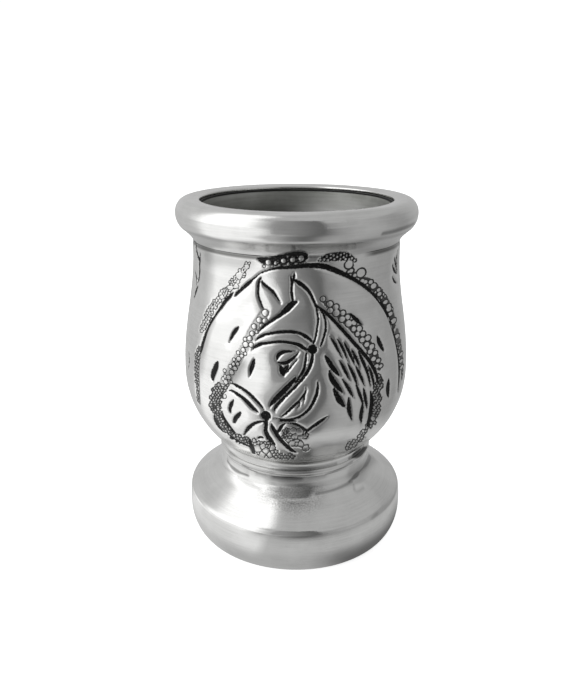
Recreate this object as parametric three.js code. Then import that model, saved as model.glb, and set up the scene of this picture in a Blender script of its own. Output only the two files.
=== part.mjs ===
// Footed mate cup: a turned wooden core clad in spun aluminium, with an aluminium inner cup.
// Millimetres, +Z up, origin at the centre of the foot on the table, -Y is the decorated front.
// Every piece is a solid of revolution, so each one is drawn as a closed half section of
// (radius, height) points and turned about the Z axis.
import * as THREE from "three";

// Sheet, fits and fineness
const SHEET = 0.6; // aluminium of the rim, body, waist and foot shells
const LINER_SHEET = 0.6; // aluminium of the inner cup
const FIT = 0.2; // clearance between two pieces that nest
const SEAM = 0.6; // open line between two sheet edges that face each other
const FACETS = 40; // flats round the axis

// Widest rings: the rim leads, and the belly and the foot nearly line up with it
const RIM_RADIUS = 35;
const BELLY_INSET = 0.75; // from the rim's widest ring in to the belly's
const FOOT_INSET = 0.5; // and to the foot's

// Foot, from the table up
const BASE_INSET = 4.5; // from the widest ring in to the ring that rests on the table
const FLANGE_WIDTH = 8; // sheet folded flat under the foot
const FLANK_HEIGHT = 8.6; // rounded flank, table to widest ring
const BAND_HEIGHT = 6.3; // widest ring to the crease
const CREASE_INSET = 0.45; // from the widest ring in to the crease
const CREASE_ROUND = 1.1; // rounding of the crease, along each side
const DOME_RISE = 7.4; // crease to the foot of the collar

// Waist, a flared ring over the joint of the foot and body shells
const COLLAR_RADIUS = 23.6; // outside of the ring
const COLLAR_ROUND = 3.2; // hollow between dome and collar, along each side
const COLLAR_WALL = 2.1; // upright wall above the hollow, with the beaded top edge
const JOGGLE = 0.3; // ramp that takes the foot shell down under the ring's flared edge
const TAIL_DEPTH = 2; // how far the body shell reaches down inside the ring
const BEAD_HEIGHT = 0.9; // rolled edge on the ring
const LIP_HEIGHT = 1.4; // rolled edge on the body shell
const EDGE_PROUD = 0.5; // both rolled edges stand out this far

// Body, from the rolled lip up to the seam under the rim
const WAIST_NECK_HEIGHT = 2.3; // short neck between lip and bowl
const WAIST_NECK_INSET = 0.3; // the neck lies this far inside the collar
const WAIST_ROUND = 1.6; // hollow between neck and bowl, along each side
const BOWL_RISE = 22.4; // neck to the widest ring of the belly
const BOWL_LEAVE_OUT = 5.3; // the bowl leaves the neck towards this far out
const BOWL_LEAVE_UP = 3.4; // and this far up
const BELLY_LOWER_REACH = 9.8; // how long the belly stays upright below its widest ring
const BELLY_UPPER_REACH = 16.3; // and above it
const THROAT_RISE = 37.9; // belly to the upright throat
const THROAT_REACH = 14.3; // how long the throat stays upright below its end
const THROAT_HEIGHT = 1.95; // upright throat, up to the seam

// Rim, a hollow bead with a cove under it
const THROAT_INSET = 4.65; // from the rim's widest ring in to the throat
const COVE_HEIGHT = 3.7; // seam to the end of the cove
const COVE_OUT = 3.2; // how far the cove swings out
const COVE_STRAIGHT = 1; // upright start of the cove
const BEAD_RISE = 3.8; // end of the cove to the rim's widest ring
const CREST_RISE = 3.95; // widest ring to the crest
const CREST_INSET = 3.2; // widest ring in to the crest
const RIM_WIDTH = 6.6; // widest ring in to the mouth's edge
const MOUTH_FALL = 0.3; // crest down to the mouth's edge
const HEM_BELOW = 0.15; // the hem inside the mouth reaches this far below the sheet
const HEM_IN = 0.45; // and this far in from the mouth's edge
const HEM_EDGE = 0.3; // upright end of the hem

// Seal and inner cup
const SEAL_HEIGHT = 0.5; // black ring between hem and inner cup
const SEAL_WIDTH = 1; // its width, from the back of the hem inwards
const LINER_INSET = 1.1; // mouth's edge in to the wall of the inner cup
const LINER_FLANGE = 2.1; // lip of the inner cup, under the rim
const LINER_DEPTH = 68; // top of the lip to the floor of the inner cup
const LINER_TAPER = 8.3; // the wall closes in by this much down to the round bottom
const LINER_BOWL_HEIGHT = 16; // round bottom
const LINER_FLOOR_REACH = 10; // half width of the nearly flat floor

// Heights of the stacked sections
const flankTop = FLANK_HEIGHT;
const creaseHeight = flankTop + BAND_HEIGHT;
const collarFoot = creaseHeight + DOME_RISE;
const collarTop = collarFoot + COLLAR_ROUND + COLLAR_WALL;
const lipFoot = collarTop + SEAM;
const lipTop = lipFoot + LIP_HEIGHT;
const bowlFoot = lipTop + WAIST_NECK_HEIGHT;
const bellyHeight = bowlFoot + BOWL_RISE;
const throatHeight = bellyHeight + THROAT_RISE;
const bodyTop = throatHeight + THROAT_HEIGHT;
const rimFoot = bodyTop + SEAM;
const coveTop = rimFoot + COVE_HEIGHT;
const rimHeight = coveTop + BEAD_RISE;
const crestHeight = rimHeight + CREST_RISE;
const mouthHeight = crestHeight - MOUTH_FALL;
const hemFoot = mouthHeight - SHEET - HEM_BELOW;
const sealTop = hemFoot - FIT;
const linerTop = sealTop - SEAL_HEIGHT - FIT;
const linerFloor = linerTop - LINER_DEPTH;

// Radii that follow from the driving ones
const bellyRadius = RIM_RADIUS - BELLY_INSET;
const footRadius = RIM_RADIUS - FOOT_INSET;
const baseRadius = footRadius - BASE_INSET;
const creaseRadius = footRadius - CREASE_INSET;
const tubeRadius = COLLAR_RADIUS - SHEET - FIT;
const waistRadius = COLLAR_RADIUS - WAIST_NECK_INSET;
const throatRadius = RIM_RADIUS - THROAT_INSET;
const mouthRadius = RIM_RADIUS - RIM_WIDTH;
const hemRadius = mouthRadius - HEM_IN;
const linerRadius = mouthRadius - LINER_INSET;
const linerBowlRadius = linerRadius - LINER_TAPER;
const flangeRadius = linerRadius + LINER_FLANGE;

const point = (radius, height) => new THREE.Vector2(radius, height);
const reversed = (points) => [...points].reverse();

// Points of a curve without its first one, to carry on a line that already ends there.
const onward = (curve, steps) => curve.getPoints(steps).slice(1);

// Moves a line sideways by a distance, to its left as it runs, with mitred corners.
function offset(line, distance) {
  return line.map((corner, i) => {
    const before = line[Math.max(i - 1, 0)];
    const after = line[Math.min(i + 1, line.length - 1)];
    const into = corner.clone().sub(before).normalize();
    const out = after.clone().sub(corner).normalize();
    if (i === 0) into.copy(out);
    if (i === line.length - 1) out.copy(into);
    const along = into.clone().add(out).normalize();
    const mitre = distance / along.dot(out);
    return point(corner.x - along.y * mitre, corner.y + along.x * mitre);
  });
}

// Replaces a corner by a soft curve that starts and ends a given length from it.
function softCorner(before, corner, after, length, steps) {
  const start = corner.clone().add(before.clone().sub(corner).setLength(length));
  const end = corner.clone().add(after.clone().sub(corner).setLength(length));
  return new THREE.QuadraticBezierCurve(start, corner, end).getPoints(steps);
}

// Half-round edge that stands out of an upright wall between two heights.
function rolledEdge(wallRadius, foot, top, proud) {
  const middle = (foot + top) / 2;
  const edge = new THREE.EllipseCurve(
    wallRadius, middle, proud, (top - foot) / 2, -Math.PI / 2, Math.PI / 2,
  );
  return edge.getPoints(4);
}

// Height of a line where it passes a radius, between the two points that straddle it.
function heightAt(line, radius) {
  const i = line.findIndex((p, k) => k > 0 && (line[k - 1].x - radius) * (p.x - radius) <= 0);
  const [a, b] = [line[i - 1], line[i]];
  return a.y + ((b.y - a.y) * (radius - a.x)) / (b.x - a.x);
}

// Turns a closed half section into a solid about the Z axis.
function turned(name, section, material) {
  const first = section[0];
  const onAxis = first.x === 0;
  const profile = onAxis ? section : [...section, first.clone()];
  const solid = new THREE.LatheGeometry(profile, FACETS);
  const mesh = new THREE.Mesh(solid, material);
  mesh.name = name;
  mesh.rotation.x = Math.PI / 2;
  return mesh;
}

// Dome, hollow and collar as seen from outside. The waist ring starts in the middle of the hollow.
const crease = point(creaseRadius, creaseHeight);
const domeTop = point(COLLAR_RADIUS, collarFoot);
const ringTop = point(COLLAR_RADIUS, collarTop);
const hollow = softCorner(crease, domeTop, ringTop, COLLAR_ROUND, 4);
const domeSide = hollow.slice(0, 2);
const ringSide = [...hollow.slice(2), ringTop];

// Foot shell from the flange under it up to the crease
function footSide() {
  const flank = new THREE.EllipseCurve(
    baseRadius, flankTop, BASE_INSET, FLANK_HEIGHT, -Math.PI / 2, 0,
  );
  const widest = point(footRadius, flankTop);
  const bandMiddle = point(footRadius, flankTop + BAND_HEIGHT / 2);
  const bandPoint = new THREE.QuadraticBezierCurve(widest, bandMiddle, crease).getPoint(0.5);
  return [
    point(baseRadius - FLANGE_WIDTH, 0),
    ...flank.getPoints(5),
    bandPoint,
    ...softCorner(bandPoint, crease, domeTop, CREASE_ROUND, 2),
  ];
}

// The rest of it: dome, a ramp down under the waist ring, and a neck inside the ring
function footLine() {
  const [ringEdge] = ringSide;
  const uphill = ringEdge.clone().sub(domeSide[1]).normalize();
  const rampTop = ringEdge.clone().addScaledVector(uphill, -FIT - JOGGLE);
  const rampEnd = ringEdge.clone().addScaledVector(uphill, -FIT);
  const [, rampFoot] = offset([rampTop, rampEnd], SHEET + FIT);
  const neckTop = collarTop - TAIL_DEPTH - FIT;
  const neck = offset(ringSide, SHEET + FIT).slice(1);
  return [
    ...footSide(),
    ...domeSide,
    rampTop,
    rampFoot,
    ...neck.filter((p) => p.y < neckTop),
    point(tubeRadius, neckTop),
  ];
}

function footSection() {
  const outer = footLine();
  return [...outer, ...reversed(offset(outer, SHEET))];
}

// Waist ring: flared edge on the dome, collar and a rolled top edge
function waistSection() {
  const bead = rolledEdge(COLLAR_RADIUS, collarTop - BEAD_HEIGHT, collarTop, EDGE_PROUD);
  return [...ringSide.slice(0, -1), ...bead, ...reversed(offset(ringSide, SHEET))];
}

// Body shell without its rolled lip: tail inside the ring, waist, bowl, belly and throat
function bodyLine() {
  const neckEnd = point(waistRadius, bowlFoot);
  const leave = point(waistRadius + BOWL_LEAVE_OUT, bowlFoot + BOWL_LEAVE_UP);
  const belly = point(bellyRadius, bellyHeight);
  const throat = point(throatRadius, throatHeight);
  const bowl = new THREE.CubicBezierCurve(
    neckEnd, leave, point(bellyRadius, bellyHeight - BELLY_LOWER_REACH), belly,
  );
  const shoulder = new THREE.CubicBezierCurve(
    belly,
    point(bellyRadius, bellyHeight + BELLY_UPPER_REACH),
    point(throatRadius, throatHeight - THROAT_REACH),
    throat,
  );
  const neckFoot = point(waistRadius, lipTop);
  return [
    point(tubeRadius, collarTop - TAIL_DEPTH),
    point(tubeRadius, lipFoot),
    neckFoot,
    ...softCorner(neckFoot, neckEnd, leave, WAIST_ROUND, 2),
    ...onward(bowl, 7).slice(1),
    ...onward(shoulder, 6),
    point(throatRadius, bodyTop),
  ];
}

function bodySection() {
  const line = bodyLine();
  const [tail, tailTop, , ...wall] = line;
  const lip = rolledEdge(waistRadius, lipFoot, lipTop, COLLAR_RADIUS - waistRadius + EDGE_PROUD);
  return [tail, tailTop, ...lip, ...wall, ...reversed(offset(line, SHEET))];
}

// Rim: upright edge on the seam, cove, round bead, crest and a hem turned into the mouth
function rimLine() {
  const foot = point(throatRadius, rimFoot);
  const coveEnd = point(throatRadius + COVE_OUT, coveTop);
  const cove = new THREE.QuadraticBezierCurve(
    foot, point(throatRadius, rimFoot + COVE_STRAIGHT), coveEnd,
  );
  const overhang = RIM_RADIUS - coveEnd.x;
  const lowerBead = new THREE.QuadraticBezierCurve(
    coveEnd, point(RIM_RADIUS, coveTop + overhang), point(RIM_RADIUS, rimHeight),
  );
  const upperBead = new THREE.EllipseCurve(
    RIM_RADIUS - CREST_INSET, rimHeight, CREST_INSET, CREST_RISE, 0, Math.PI / 2,
  );
  return [
    ...cove.getPoints(3),
    ...onward(lowerBead, 3),
    ...onward(upperBead, 4),
    point(mouthRadius, mouthHeight),
  ];
}

function rimSection() {
  const outer = rimLine();
  const inner = offset(outer, SHEET);
  const hemBack = hemRadius + SHEET;
  return [
    ...outer,
    point(hemRadius, hemFoot + HEM_EDGE),
    point(hemRadius, hemFoot),
    point(hemBack, hemFoot),
    point(hemBack, heightAt(inner, hemBack)),
    ...reversed(inner.filter((p) => p.x > hemBack)),
  ];
}

// Black sealing ring between the rim's hem and the lip of the inner cup
function sealSection() {
  const outerRadius = hemRadius + SHEET;
  const innerRadius = outerRadius - SEAL_WIDTH;
  return [
    point(innerRadius, sealTop - SEAL_HEIGHT),
    point(outerRadius, sealTop - SEAL_HEIGHT),
    point(outerRadius, sealTop),
    point(innerRadius, sealTop),
  ];
}

// Inside of the inner cup: nearly flat floor, round bottom and a wall that opens upwards
function linerLine() {
  const bowlTop = point(linerBowlRadius, linerFloor + LINER_BOWL_HEIGHT);
  const wallSlope = LINER_TAPER / (LINER_DEPTH - LINER_BOWL_HEIGHT);
  const bowlReach = LINER_BOWL_HEIGHT / 2;
  const bottom = new THREE.CubicBezierCurve(
    point(0, linerFloor),
    point(LINER_FLOOR_REACH, linerFloor),
    point(linerBowlRadius - wallSlope * bowlReach, bowlTop.y - bowlReach),
    bowlTop,
  );
  return [...bottom.getPoints(6), point(linerRadius, linerTop)];
}

function linerSection() {
  const inside = linerLine();
  const outside = offset(inside, -LINER_SHEET);
  const axisFoot = point(0, linerFloor - LINER_SHEET);
  const flangeFoot = linerTop - LINER_SHEET;
  const [, ...wall] = outside.slice(0, -1);
  const wallAtFlange = linerRadius + LINER_SHEET;
  return [
    axisFoot,
    ...wall,
    point(wallAtFlange, flangeFoot),
    point(flangeRadius, flangeFoot),
    point(flangeRadius, linerTop),
    ...reversed(inside),
  ];
}

// Wooden core: fills what lies between the shells and the inner cup
function coreSection() {
  const under = SHEET + FIT;
  const foot = offset([...footSide(), domeSide[0]], under);
  const [, waistCorner] = offset([crease, domeTop, ringTop], 2 * under);
  const body = offset(bodyLine(), under);
  const rim = offset(rimLine(), under);
  const recessRadius = flangeRadius + FIT;
  const crestPoint = rim.findLastIndex((p) => p.x > recessRadius);
  const shoulder = linerTop - LINER_SHEET - FIT;
  const boreLine = offset(linerLine(), -LINER_SHEET - FIT);
  const [, ...bore] = boreLine.slice(0, -1);
  return [
    point(0, under),
    ...foot,
    waistCorner,
    ...body,
    ...rim.slice(0, crestPoint + 1),
    point(recessRadius, heightAt(rim, recessRadius)),
    point(recessRadius, shoulder),
    point(linerRadius + LINER_SHEET + FIT, shoulder),
    ...reversed(bore),
    point(0, linerFloor - LINER_SHEET - FIT),
  ];
}

const metal = (color, roughness) =>
  new THREE.MeshStandardMaterial({ color, roughness, metalness: 1 });
const satinAluminium = metal(0xb9babb, 0.32);
const dullAluminium = metal(0x8d8f8c, 0.45);
const blackSeal = new THREE.MeshStandardMaterial({ color: 0x101010, roughness: 0.7, metalness: 0 });
const turnedWood = new THREE.MeshStandardMaterial({ color: 0x7a4a2a, roughness: 0.6, metalness: 0 });

const cup = new THREE.Group();
cup.add(
  turned("wood_core", coreSection(), turnedWood),
  turned("inner_cup", linerSection(), dullAluminium),
  turned("rim_seal", sealSection(), blackSeal),
  turned("rim_ring", rimSection(), satinAluminium),
  turned("body_shell", bodySection(), satinAluminium),
  turned("waist_ring", waistSection(), satinAluminium),
  turned("foot_shell", footSection(), satinAluminium),
);

export default cup;
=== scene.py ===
"""Footed mate cup: a turned wooden cup clad in spun aluminium.

A horse's head in a horseshoe is chased into the body, and its lines are blackened."""

import functools
import math
import random

import bmesh
import bpy
import numpy as np
from bpy.props import FloatProperty, FloatVectorProperty, PointerProperty
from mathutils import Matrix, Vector, kdtree, noise
from mathutils.bvhtree import BVHTree
from mathutils.geometry import interpolate_bezier


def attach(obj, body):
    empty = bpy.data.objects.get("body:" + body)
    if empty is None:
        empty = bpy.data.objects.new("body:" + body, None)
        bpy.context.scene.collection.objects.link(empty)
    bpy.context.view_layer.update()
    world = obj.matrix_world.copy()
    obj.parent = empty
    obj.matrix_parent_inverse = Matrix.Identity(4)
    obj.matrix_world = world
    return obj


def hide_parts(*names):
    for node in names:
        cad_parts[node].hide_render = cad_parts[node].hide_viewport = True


bl_info = {
    "name": "Clad mate cup",
    "version": (1, 0, 0),
    "blender": (4, 5, 0),
    "location": "3D View > Sidebar > Mate cup",
    "description": "Builds a footed mate cup of spun and chased aluminium over a turned wooden core",
    "category": "Add Mesh",
}

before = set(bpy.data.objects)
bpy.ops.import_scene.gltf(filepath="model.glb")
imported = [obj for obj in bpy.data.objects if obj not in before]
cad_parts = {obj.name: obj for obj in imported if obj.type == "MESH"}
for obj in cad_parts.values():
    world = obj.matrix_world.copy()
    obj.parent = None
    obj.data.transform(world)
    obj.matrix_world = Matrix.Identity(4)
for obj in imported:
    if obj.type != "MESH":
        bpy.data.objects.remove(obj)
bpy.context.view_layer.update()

MM = 0.001
BODY = "root"

# Steps of the turned meshes, round the axis.
ROUND_STEPS = 192
CORE_STEPS = 96
SHELL_STEPS = 288
SLICE_STEPS = 24

# One turn of the chased sheet: degrees to each side of the front, degrees of each side, and their steps.
FRONT_TURN = 62
FRONT_STEPS = 270
SIDE_TURN = 64
SIDE_STEPS = 52
BACK_STEPS = 14

# The plain front that the drawing is laid on: steps of its body curve below and above the belly, and round.
BLANK_CURVE = (30, 40)
BLANK_STEPS = 96

# Small distances and shares that keep the outlines clean.
MERGE = 0.002 * MM
HAIRLINE = 0.006 * MM
JOINT_GAP = 0.02 * MM
SOFT_EDGE = 0.02 * MM
CLEAR_STEP = 0.1 * MM
QUARTER_ROUND = 0.5523
SHARPEST_MITRE = 0.5
SHARP_EDGE = 50
LINER_BEAD_SHARE = 0.3

# How many points of an outline belong to one stretch of it.
FOOT_TOP_POINTS = 14
RIM_OUTER_POINTS = 49
RIM_HEM_POINTS = 8
LINER_WALL_POINTS = 50

# How drawn lines are laid on the metal. A gain is the share of its drawn width that a line gets.
PIXEL = 0.27 * MM
PLAIN_PIXEL = 0.3 * MM
WIDEST_PIXEL = 0.9 * MM
SMUDGE_PIXEL = 0.36 * MM
DRAW_STEP = 0.5
SPOT_STEP = 0.6
THINNEST_LINE = 0.5
LINE_GAIN = 0.80
BROAD_GAIN = 0.97
POINTS_AT_ONCE = 4000

# How the chasing sinks into the sheet, and how far from a line or a punch it is worked out.
CHASE_FADE = 1.6 * MM
DRAWING_REACH = 4 * MM
PUNCH_REACH = 1.2 * MM
RING_REACH = 2 * MM
RING_NEIGHBOURS = 5
GROOVE_FLOOR = 0.2 * MM
BAND_FOOT = 0.25 * MM
BAND_RISE = 0.15 * MM
CELL_FOOT = 0.3 * MM
DOME_FOOT = 0.1 * MM
DOME_RISE = 0.4 * MM
DOME_LEVEL = 0.9
HAZE_EDGE = 0.1 * MM
LEAST_FACING = 0.2
LEAST_FADE = 0.02
WOBBLE_DEPTH = 0.05 * MM
WOBBLE_WAVES = ((140, 1.0), (320, 0.5))

# Degrees from the front, to the left and to the right, over which the crease under the rim comes in.
CREASE_LEFT = (14, 19)
CREASE_RIGHT = (33, 43)

# How the punches of a band are scattered, as shares of a cell.
DICE_SEED = 7
RING_PITCH = 0.88
RING_STAGGER = 0.25
RING_JITTER = 0.1
RING_SPREAD = (0.85, 1.05)
RING_CLEAR = 0.85
CELL_MARGIN = 3
CELL_ROW = 0.87
CELL_JITTER = 0.28
CELL_CLEAR = 0.35
CELL_SPREAD = (0.3, 0.5)
CELL_INSIDE = 0.2

# Painted shade in the cove under the rim's bead and at the cove's fold, the grainy patch, and where a film
# has faded out, as a multiple of its softness.
COVE_SHADE = 0.27
FOLD_SHADE = 0.2
COVE_SHADE_FOOT = 0.5 * MM
COVE_SHADE_RISE = 0.1 * MM
COVE_SHADE_TOP = 0.3 * MM
COVE_SHADE_END = 1.3 * MM
FOLD_WIDTH = 0.6 * MM
SAND_SHARE = 0.3
SAND_REACH = 2 * MM
SAND_LIMIT = 9 * MM
FADE_OUT = 3

# Lathe lines and handling marks per metre, and the ranges of noise that they are cut from.
SHELL_LINES = 2600.0
BODY_LINES = 1900.0
LINER_LINES = 1200.0
WOOD_LINES = 1500.0
BROAD_LINES_PER_METRE = 420.0
LINE_WANDER = 0.0016
FINE_SHARE = 0.6
SHELL_SMUDGES = 60.0
LINER_SMUDGES = 45.0
SEAL_SMUDGES = 300.0
GRAINS_PER_METRE = 3400.0
STREAK_RANGE = (0.32, 0.68)
SMUDGE_RANGE = (0.36, 0.66)
GRAIN_RANGE = (0.3, 0.7)
SPECK_RANGE = (0.42, 0.62)

# Satin metal: shares of worn tone, added roughness and relief.
WORN_SHARE = 0.35
WORN_STREAK = 0.4
STREAK_SHARE = 0.22
STREAK_ROUGH = 0.05
SMUDGE_ROUGH = 0.04
# These thin out and roughen the mark that holds both the smudges and the painted shade.
GRIME_AND_SHADE_STREAK = 0.85
GRIME_AND_SHADE_ROUGH = 0.15
LINE_RELIEF = 0.15
SHELL_BUMP = 0.14
BUMP_DEPTH = 0.2 * MM

# Patina: how ragged it is, the widths over which it fades in millimetres, and its shares.
RAGGED = 0.6
RAGGED_RING = 0.4
RAGGED_BAND = 2.4
PATINA_EDGE = 0.06
RING_EDGE = 0.07
BAND_EDGE = 0.1
FILM_WIDTH = 0.25
FILM_SHARE = 0.3
# Share of the painted shadow along the throat's crease and of the smudges and films.
CREASE_SHADOW_AND_FILM_SHARE = 0.92
HAZE_RANGE = (-0.1, 0.1)
HAZE_SHARES = (0.6, 1.3)
OUTLINE_SHARE = 0.95
FLECK_RANGE = (0.60, 0.74)
FLECK_SHARE = 0.8
PATINA_ROUGH = 0.3
PATINA_RELIEF = 0.8
PATINA_DULL = 0.95
PATINA_GLOSS = 0.14

# The liner: stain, tea film with painted shade by height and side, painted sheen deep on the right, and the
# black line along its lip.
STAIN_SMUDGE = 0.55
STAIN_STREAK = 0.45
DEEP_HEIGHTS = (104 * MM, 97 * MM)
TEA_AND_SHADE_SIDES = (3 * MM, -5 * MM)
TEA_AND_SHADE_SHARE = 0.75
SHEEN_SIDES = (-2 * MM, 9 * MM)
SHEEN_SHARE = 0.5
LIP_LINE_FOOT = 0.05 * MM
LIP_LINE_RISE = 0.2 * MM
LIP_LINE_SHARE = 0.97
LINER_ROUGH = 0.42
LINER_TONE_ROUGH = 0.14
LINER_BUMP = 0.15

# The seal and the wood.
SEAL_ROUGH = 0.5
SEAL_GRAIN_ROUGH = 0.2
WOOD_HEART = (0.011, 0.017, 0.0)
WOOD_STRETCH = (1.0, 1.0, 0.12)
WOOD_RINGS = 95.0
WOOD_GRAIN_RANGE = (0.25, 0.75)
WOOD_RING_SHARES = (0.5, 1.0)
WOOD_SHOWN = (3 * MM, 6 * MM)
WOOD_ROUGH = 0.5
WOOD_GRAIN_ROUGH = 0.25
WOOD_GRAIN_RELIEF = 0.6
WOOD_BUMP = 0.3
WOOD_BUMP_DEPTH = 0.3 * MM

# Brightness of the room round the cup, by degrees from the camera towards the photograph's right.
ROOM_STOPS = ((-180, 0.54), (-150, 0.60), (-119, 0.63), (-109, 0.80), (-101, 1.15), (-94, 1.4), (-44, 1.4),
              (-37, 1.0), (-31, 0.70), (-26.5, 0.50), (-24, 0.50), (-21, 0.54), (-15, 0.43), (-7, 0.27),
              (8, 0.14), (18, 0.17), (28, 0.33), (42, 0.42), (60, 0.45), (92, 0.37), (108, 0.35), (127, 0.44),
              (150, 0.47), (179, 0.54))

# The room above: degrees of rise over which it turns, its walls grow bright and the zenith comes in.
HIGH_RISE = (35, 55)
HIGH_TURN = 12
WALL_RISE = (14, 36)
WALL_BRIGHT = 0.48
ZENITH_RISE = (68, 84)
ZENITH_BRIGHT = 0.45
BACKDROP = 1.05

# The floor: what the camera sees of it, and what the metal mirrors, by metres from the axis and degrees.
FLOOR_SIZE = 2.5
FLOOR_SINK = 0.05 * MM
FLOOR_GLOW = 0.84
FLOOR_CLOUDS = 6.0
FLOOR_TINT = 0.98
CUP_MIDDLE = 0.055
CONTACT_REACH = (0.033, 0.050)
NEAR_REACH = (0.052, 0.080)
FAR_REACH = (0.13, 0.22)
NEAR_TURN = -8
MIDDLE_TURN = 3
FAR_TURN = -7
FLOOR_SHARE = 0.95
FLOOR_TOP = 1.12
NEAR_FLOOR_LOW = 0.54
NEAR_FLOOR_HIGH = 0.88
SHADE_SIDE = (0.85, -0.53, 0.0)
CONTACT_SIDES = (-0.9, 0.2)
CONTACT_LEFT = 0.66
CONTACT_BRIGHT = 0.47
CONTACT_SHADE_SIDES = (0.6, 0.92)
CONTACT_SHADE = 0.3

# The dark card behind the camera, the soft box above and the camera's own settings.
SHADE_LEFT = -0.085
SHADE_RIGHT = 0.090
SHADE_LOW = 0.01
SHADE_HIGH = 0.32
SHADE_BEHIND = 6 * MM
SHADE_BRIGHT = (0.33, 0.13)
TOP_BOX_PLACE = (-0.25, 0.10, 0.70)
TOP_BOX_SIZE = 0.6
SENSOR_HEIGHT = 36.0
CLIP_START = 0.01

# The photograph's frame, in pixels. The drawing below is given in it.
PHOTO_WIDTH = 567
PHOTO_HEIGHT = 700

# Chased lines, drawn as points of (x, y, line width).
HORSESHOE_LINES = (
    ((268, 270.5, 2), (260, 273.5, 1.6), (253, 279, 2.2), (249, 282.5, 4.4), (242, 288.5, 4.2),
     (236, 294, 3.4), (234.3, 296.5, 1.2)),
    ((232.5, 292.5, 1.2), (229, 296.5, 4.2), (224, 301.5, 4.4), (220.5, 307, 3.6), (216.5, 312.5, 2.4),
     (208, 326, 2.6), (203, 340, 3), (200.7, 348, 3), (199.3, 353, 1.6)),
    ((266, 271, 2), (276, 268.5, 3.4), (290, 267.5, 4.6), (305, 266, 6), (318, 266, 7.2), (326, 267, 7.4),
     (334, 270, 7), (350, 277, 5.6), (364, 285.5, 4.6), (376, 296, 3.6), (385, 308, 3.4), (391, 321, 2.6),
     (396, 338, 2.2), (399, 355, 1.9), (400, 372, 1.8), (398.8, 391, 1)),
)
NAIL_HOLES = (
    ((237.8, 327, 2), (235.5, 330, 4.6), (232.5, 334, 4.4), (228.4, 342.5, 1)),
    ((216.5, 362.5, 3), (215, 367, 6), (213, 372, 6), (211.6, 377, 4.6), (212.3, 380.5, 1.4)),
    ((350.5, 313.5, 1.6), (354.5, 317.5, 4.8), (359, 321.5, 4.8), (363, 325.5, 1)),
    ((378.3, 336.5, 1.6), (379.8, 341.5, 4.6), (382, 346, 4.4), (384.7, 351.5, 1)),
    ((389.6, 380, 1.6), (389, 386, 4.2), (389, 392, 3.8), (389.6, 397.5, 1)),
)
EARS_AND_FORELOCK = (
    ((261, 277.5, 1.2), (258.6, 282, 2.6), (257.8, 289, 2.3), (258, 296, 2.3), (261.5, 306, 2.2),
     (263.3, 309.5, 1)),
    ((261, 280.5, 1), (263.3, 284, 3.2), (268, 288, 3.2), (273.5, 293, 3.2), (280.6, 303.3, 1)),
    ((290.8, 277, 1.8), (291.8, 284, 2.8), (291.5, 292, 2.8), (293, 302, 2.6)),
    ((294.4, 273.5, 1.4), (294, 277.5, 3), (293.5, 281.5, 2)),
    ((294.5, 280, 2), (299, 283, 4.4), (304, 286.5, 4.4), (308.5, 291, 3.6), (312, 296.5, 3.2),
     (316.6, 307, 2.6)),
    ((297, 302, 2), (292, 304.5, 6.2), (287, 309, 6.6), (281.5, 314, 4.6), (275, 318.5, 3.6),
     (263.5, 326.5, 2.6), (258.5, 332, 1)),
)
BROW_BAND = (
    ((255.5, 340.3, 1), (261, 336.5, 2.8), (268, 334, 3), (284, 332, 3.8), (298, 333, 3.4), (308, 338, 3.8),
     (313.8, 343.5, 1.6)),
    ((252.3, 349.3, 1.4), (257, 345.8, 3.4), (264, 343.6, 3.2), (282, 342, 3), (297, 344.5, 3.8),
     (302, 347, 4.2), (306, 350, 3)),
)
BRIDLE = (
    ((316.5, 306, 2.6), (317.8, 314, 2.8), (318.3, 322, 2.6), (316, 337, 2.8), (313.8, 343.5, 2.2)),
    ((319.5, 309, 1.6), (324, 315, 2.6), (326, 322, 2.8), (326, 330, 3), (322.8, 342, 3),
     (320.6, 346.5, 1.6)),
    ((306.6, 353.5, 2.2), (305, 366, 3.8), (303, 372, 3.8), (296, 382.5, 2.6)),
    ((296, 377.5, 2), (293, 381.5, 5), (289, 386, 6.4), (279, 396, 7), (274.5, 400.5, 6.4), (271, 404.5, 4),
     (269.8, 407, 1.4)),
    ((313, 354, 3.4), (310.5, 366, 5), (304, 377.5, 3.8), (293.5, 389, 3.6), (282, 400, 4), (277, 405.5, 4.6),
     (274.6, 409.5, 3.6), (275.2, 412, 1)),
    ((230.5, 383.8, 1.2), (236, 385.8, 3.2), (248, 393.5, 3.8), (259, 404.5, 3.2), (263.6, 410, 1.4)),
    ((228.5, 390.7, 1.2), (233, 392, 3), (244, 399.8, 4.4), (252, 408, 4.8), (257.5, 412.5, 2)),
)
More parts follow.
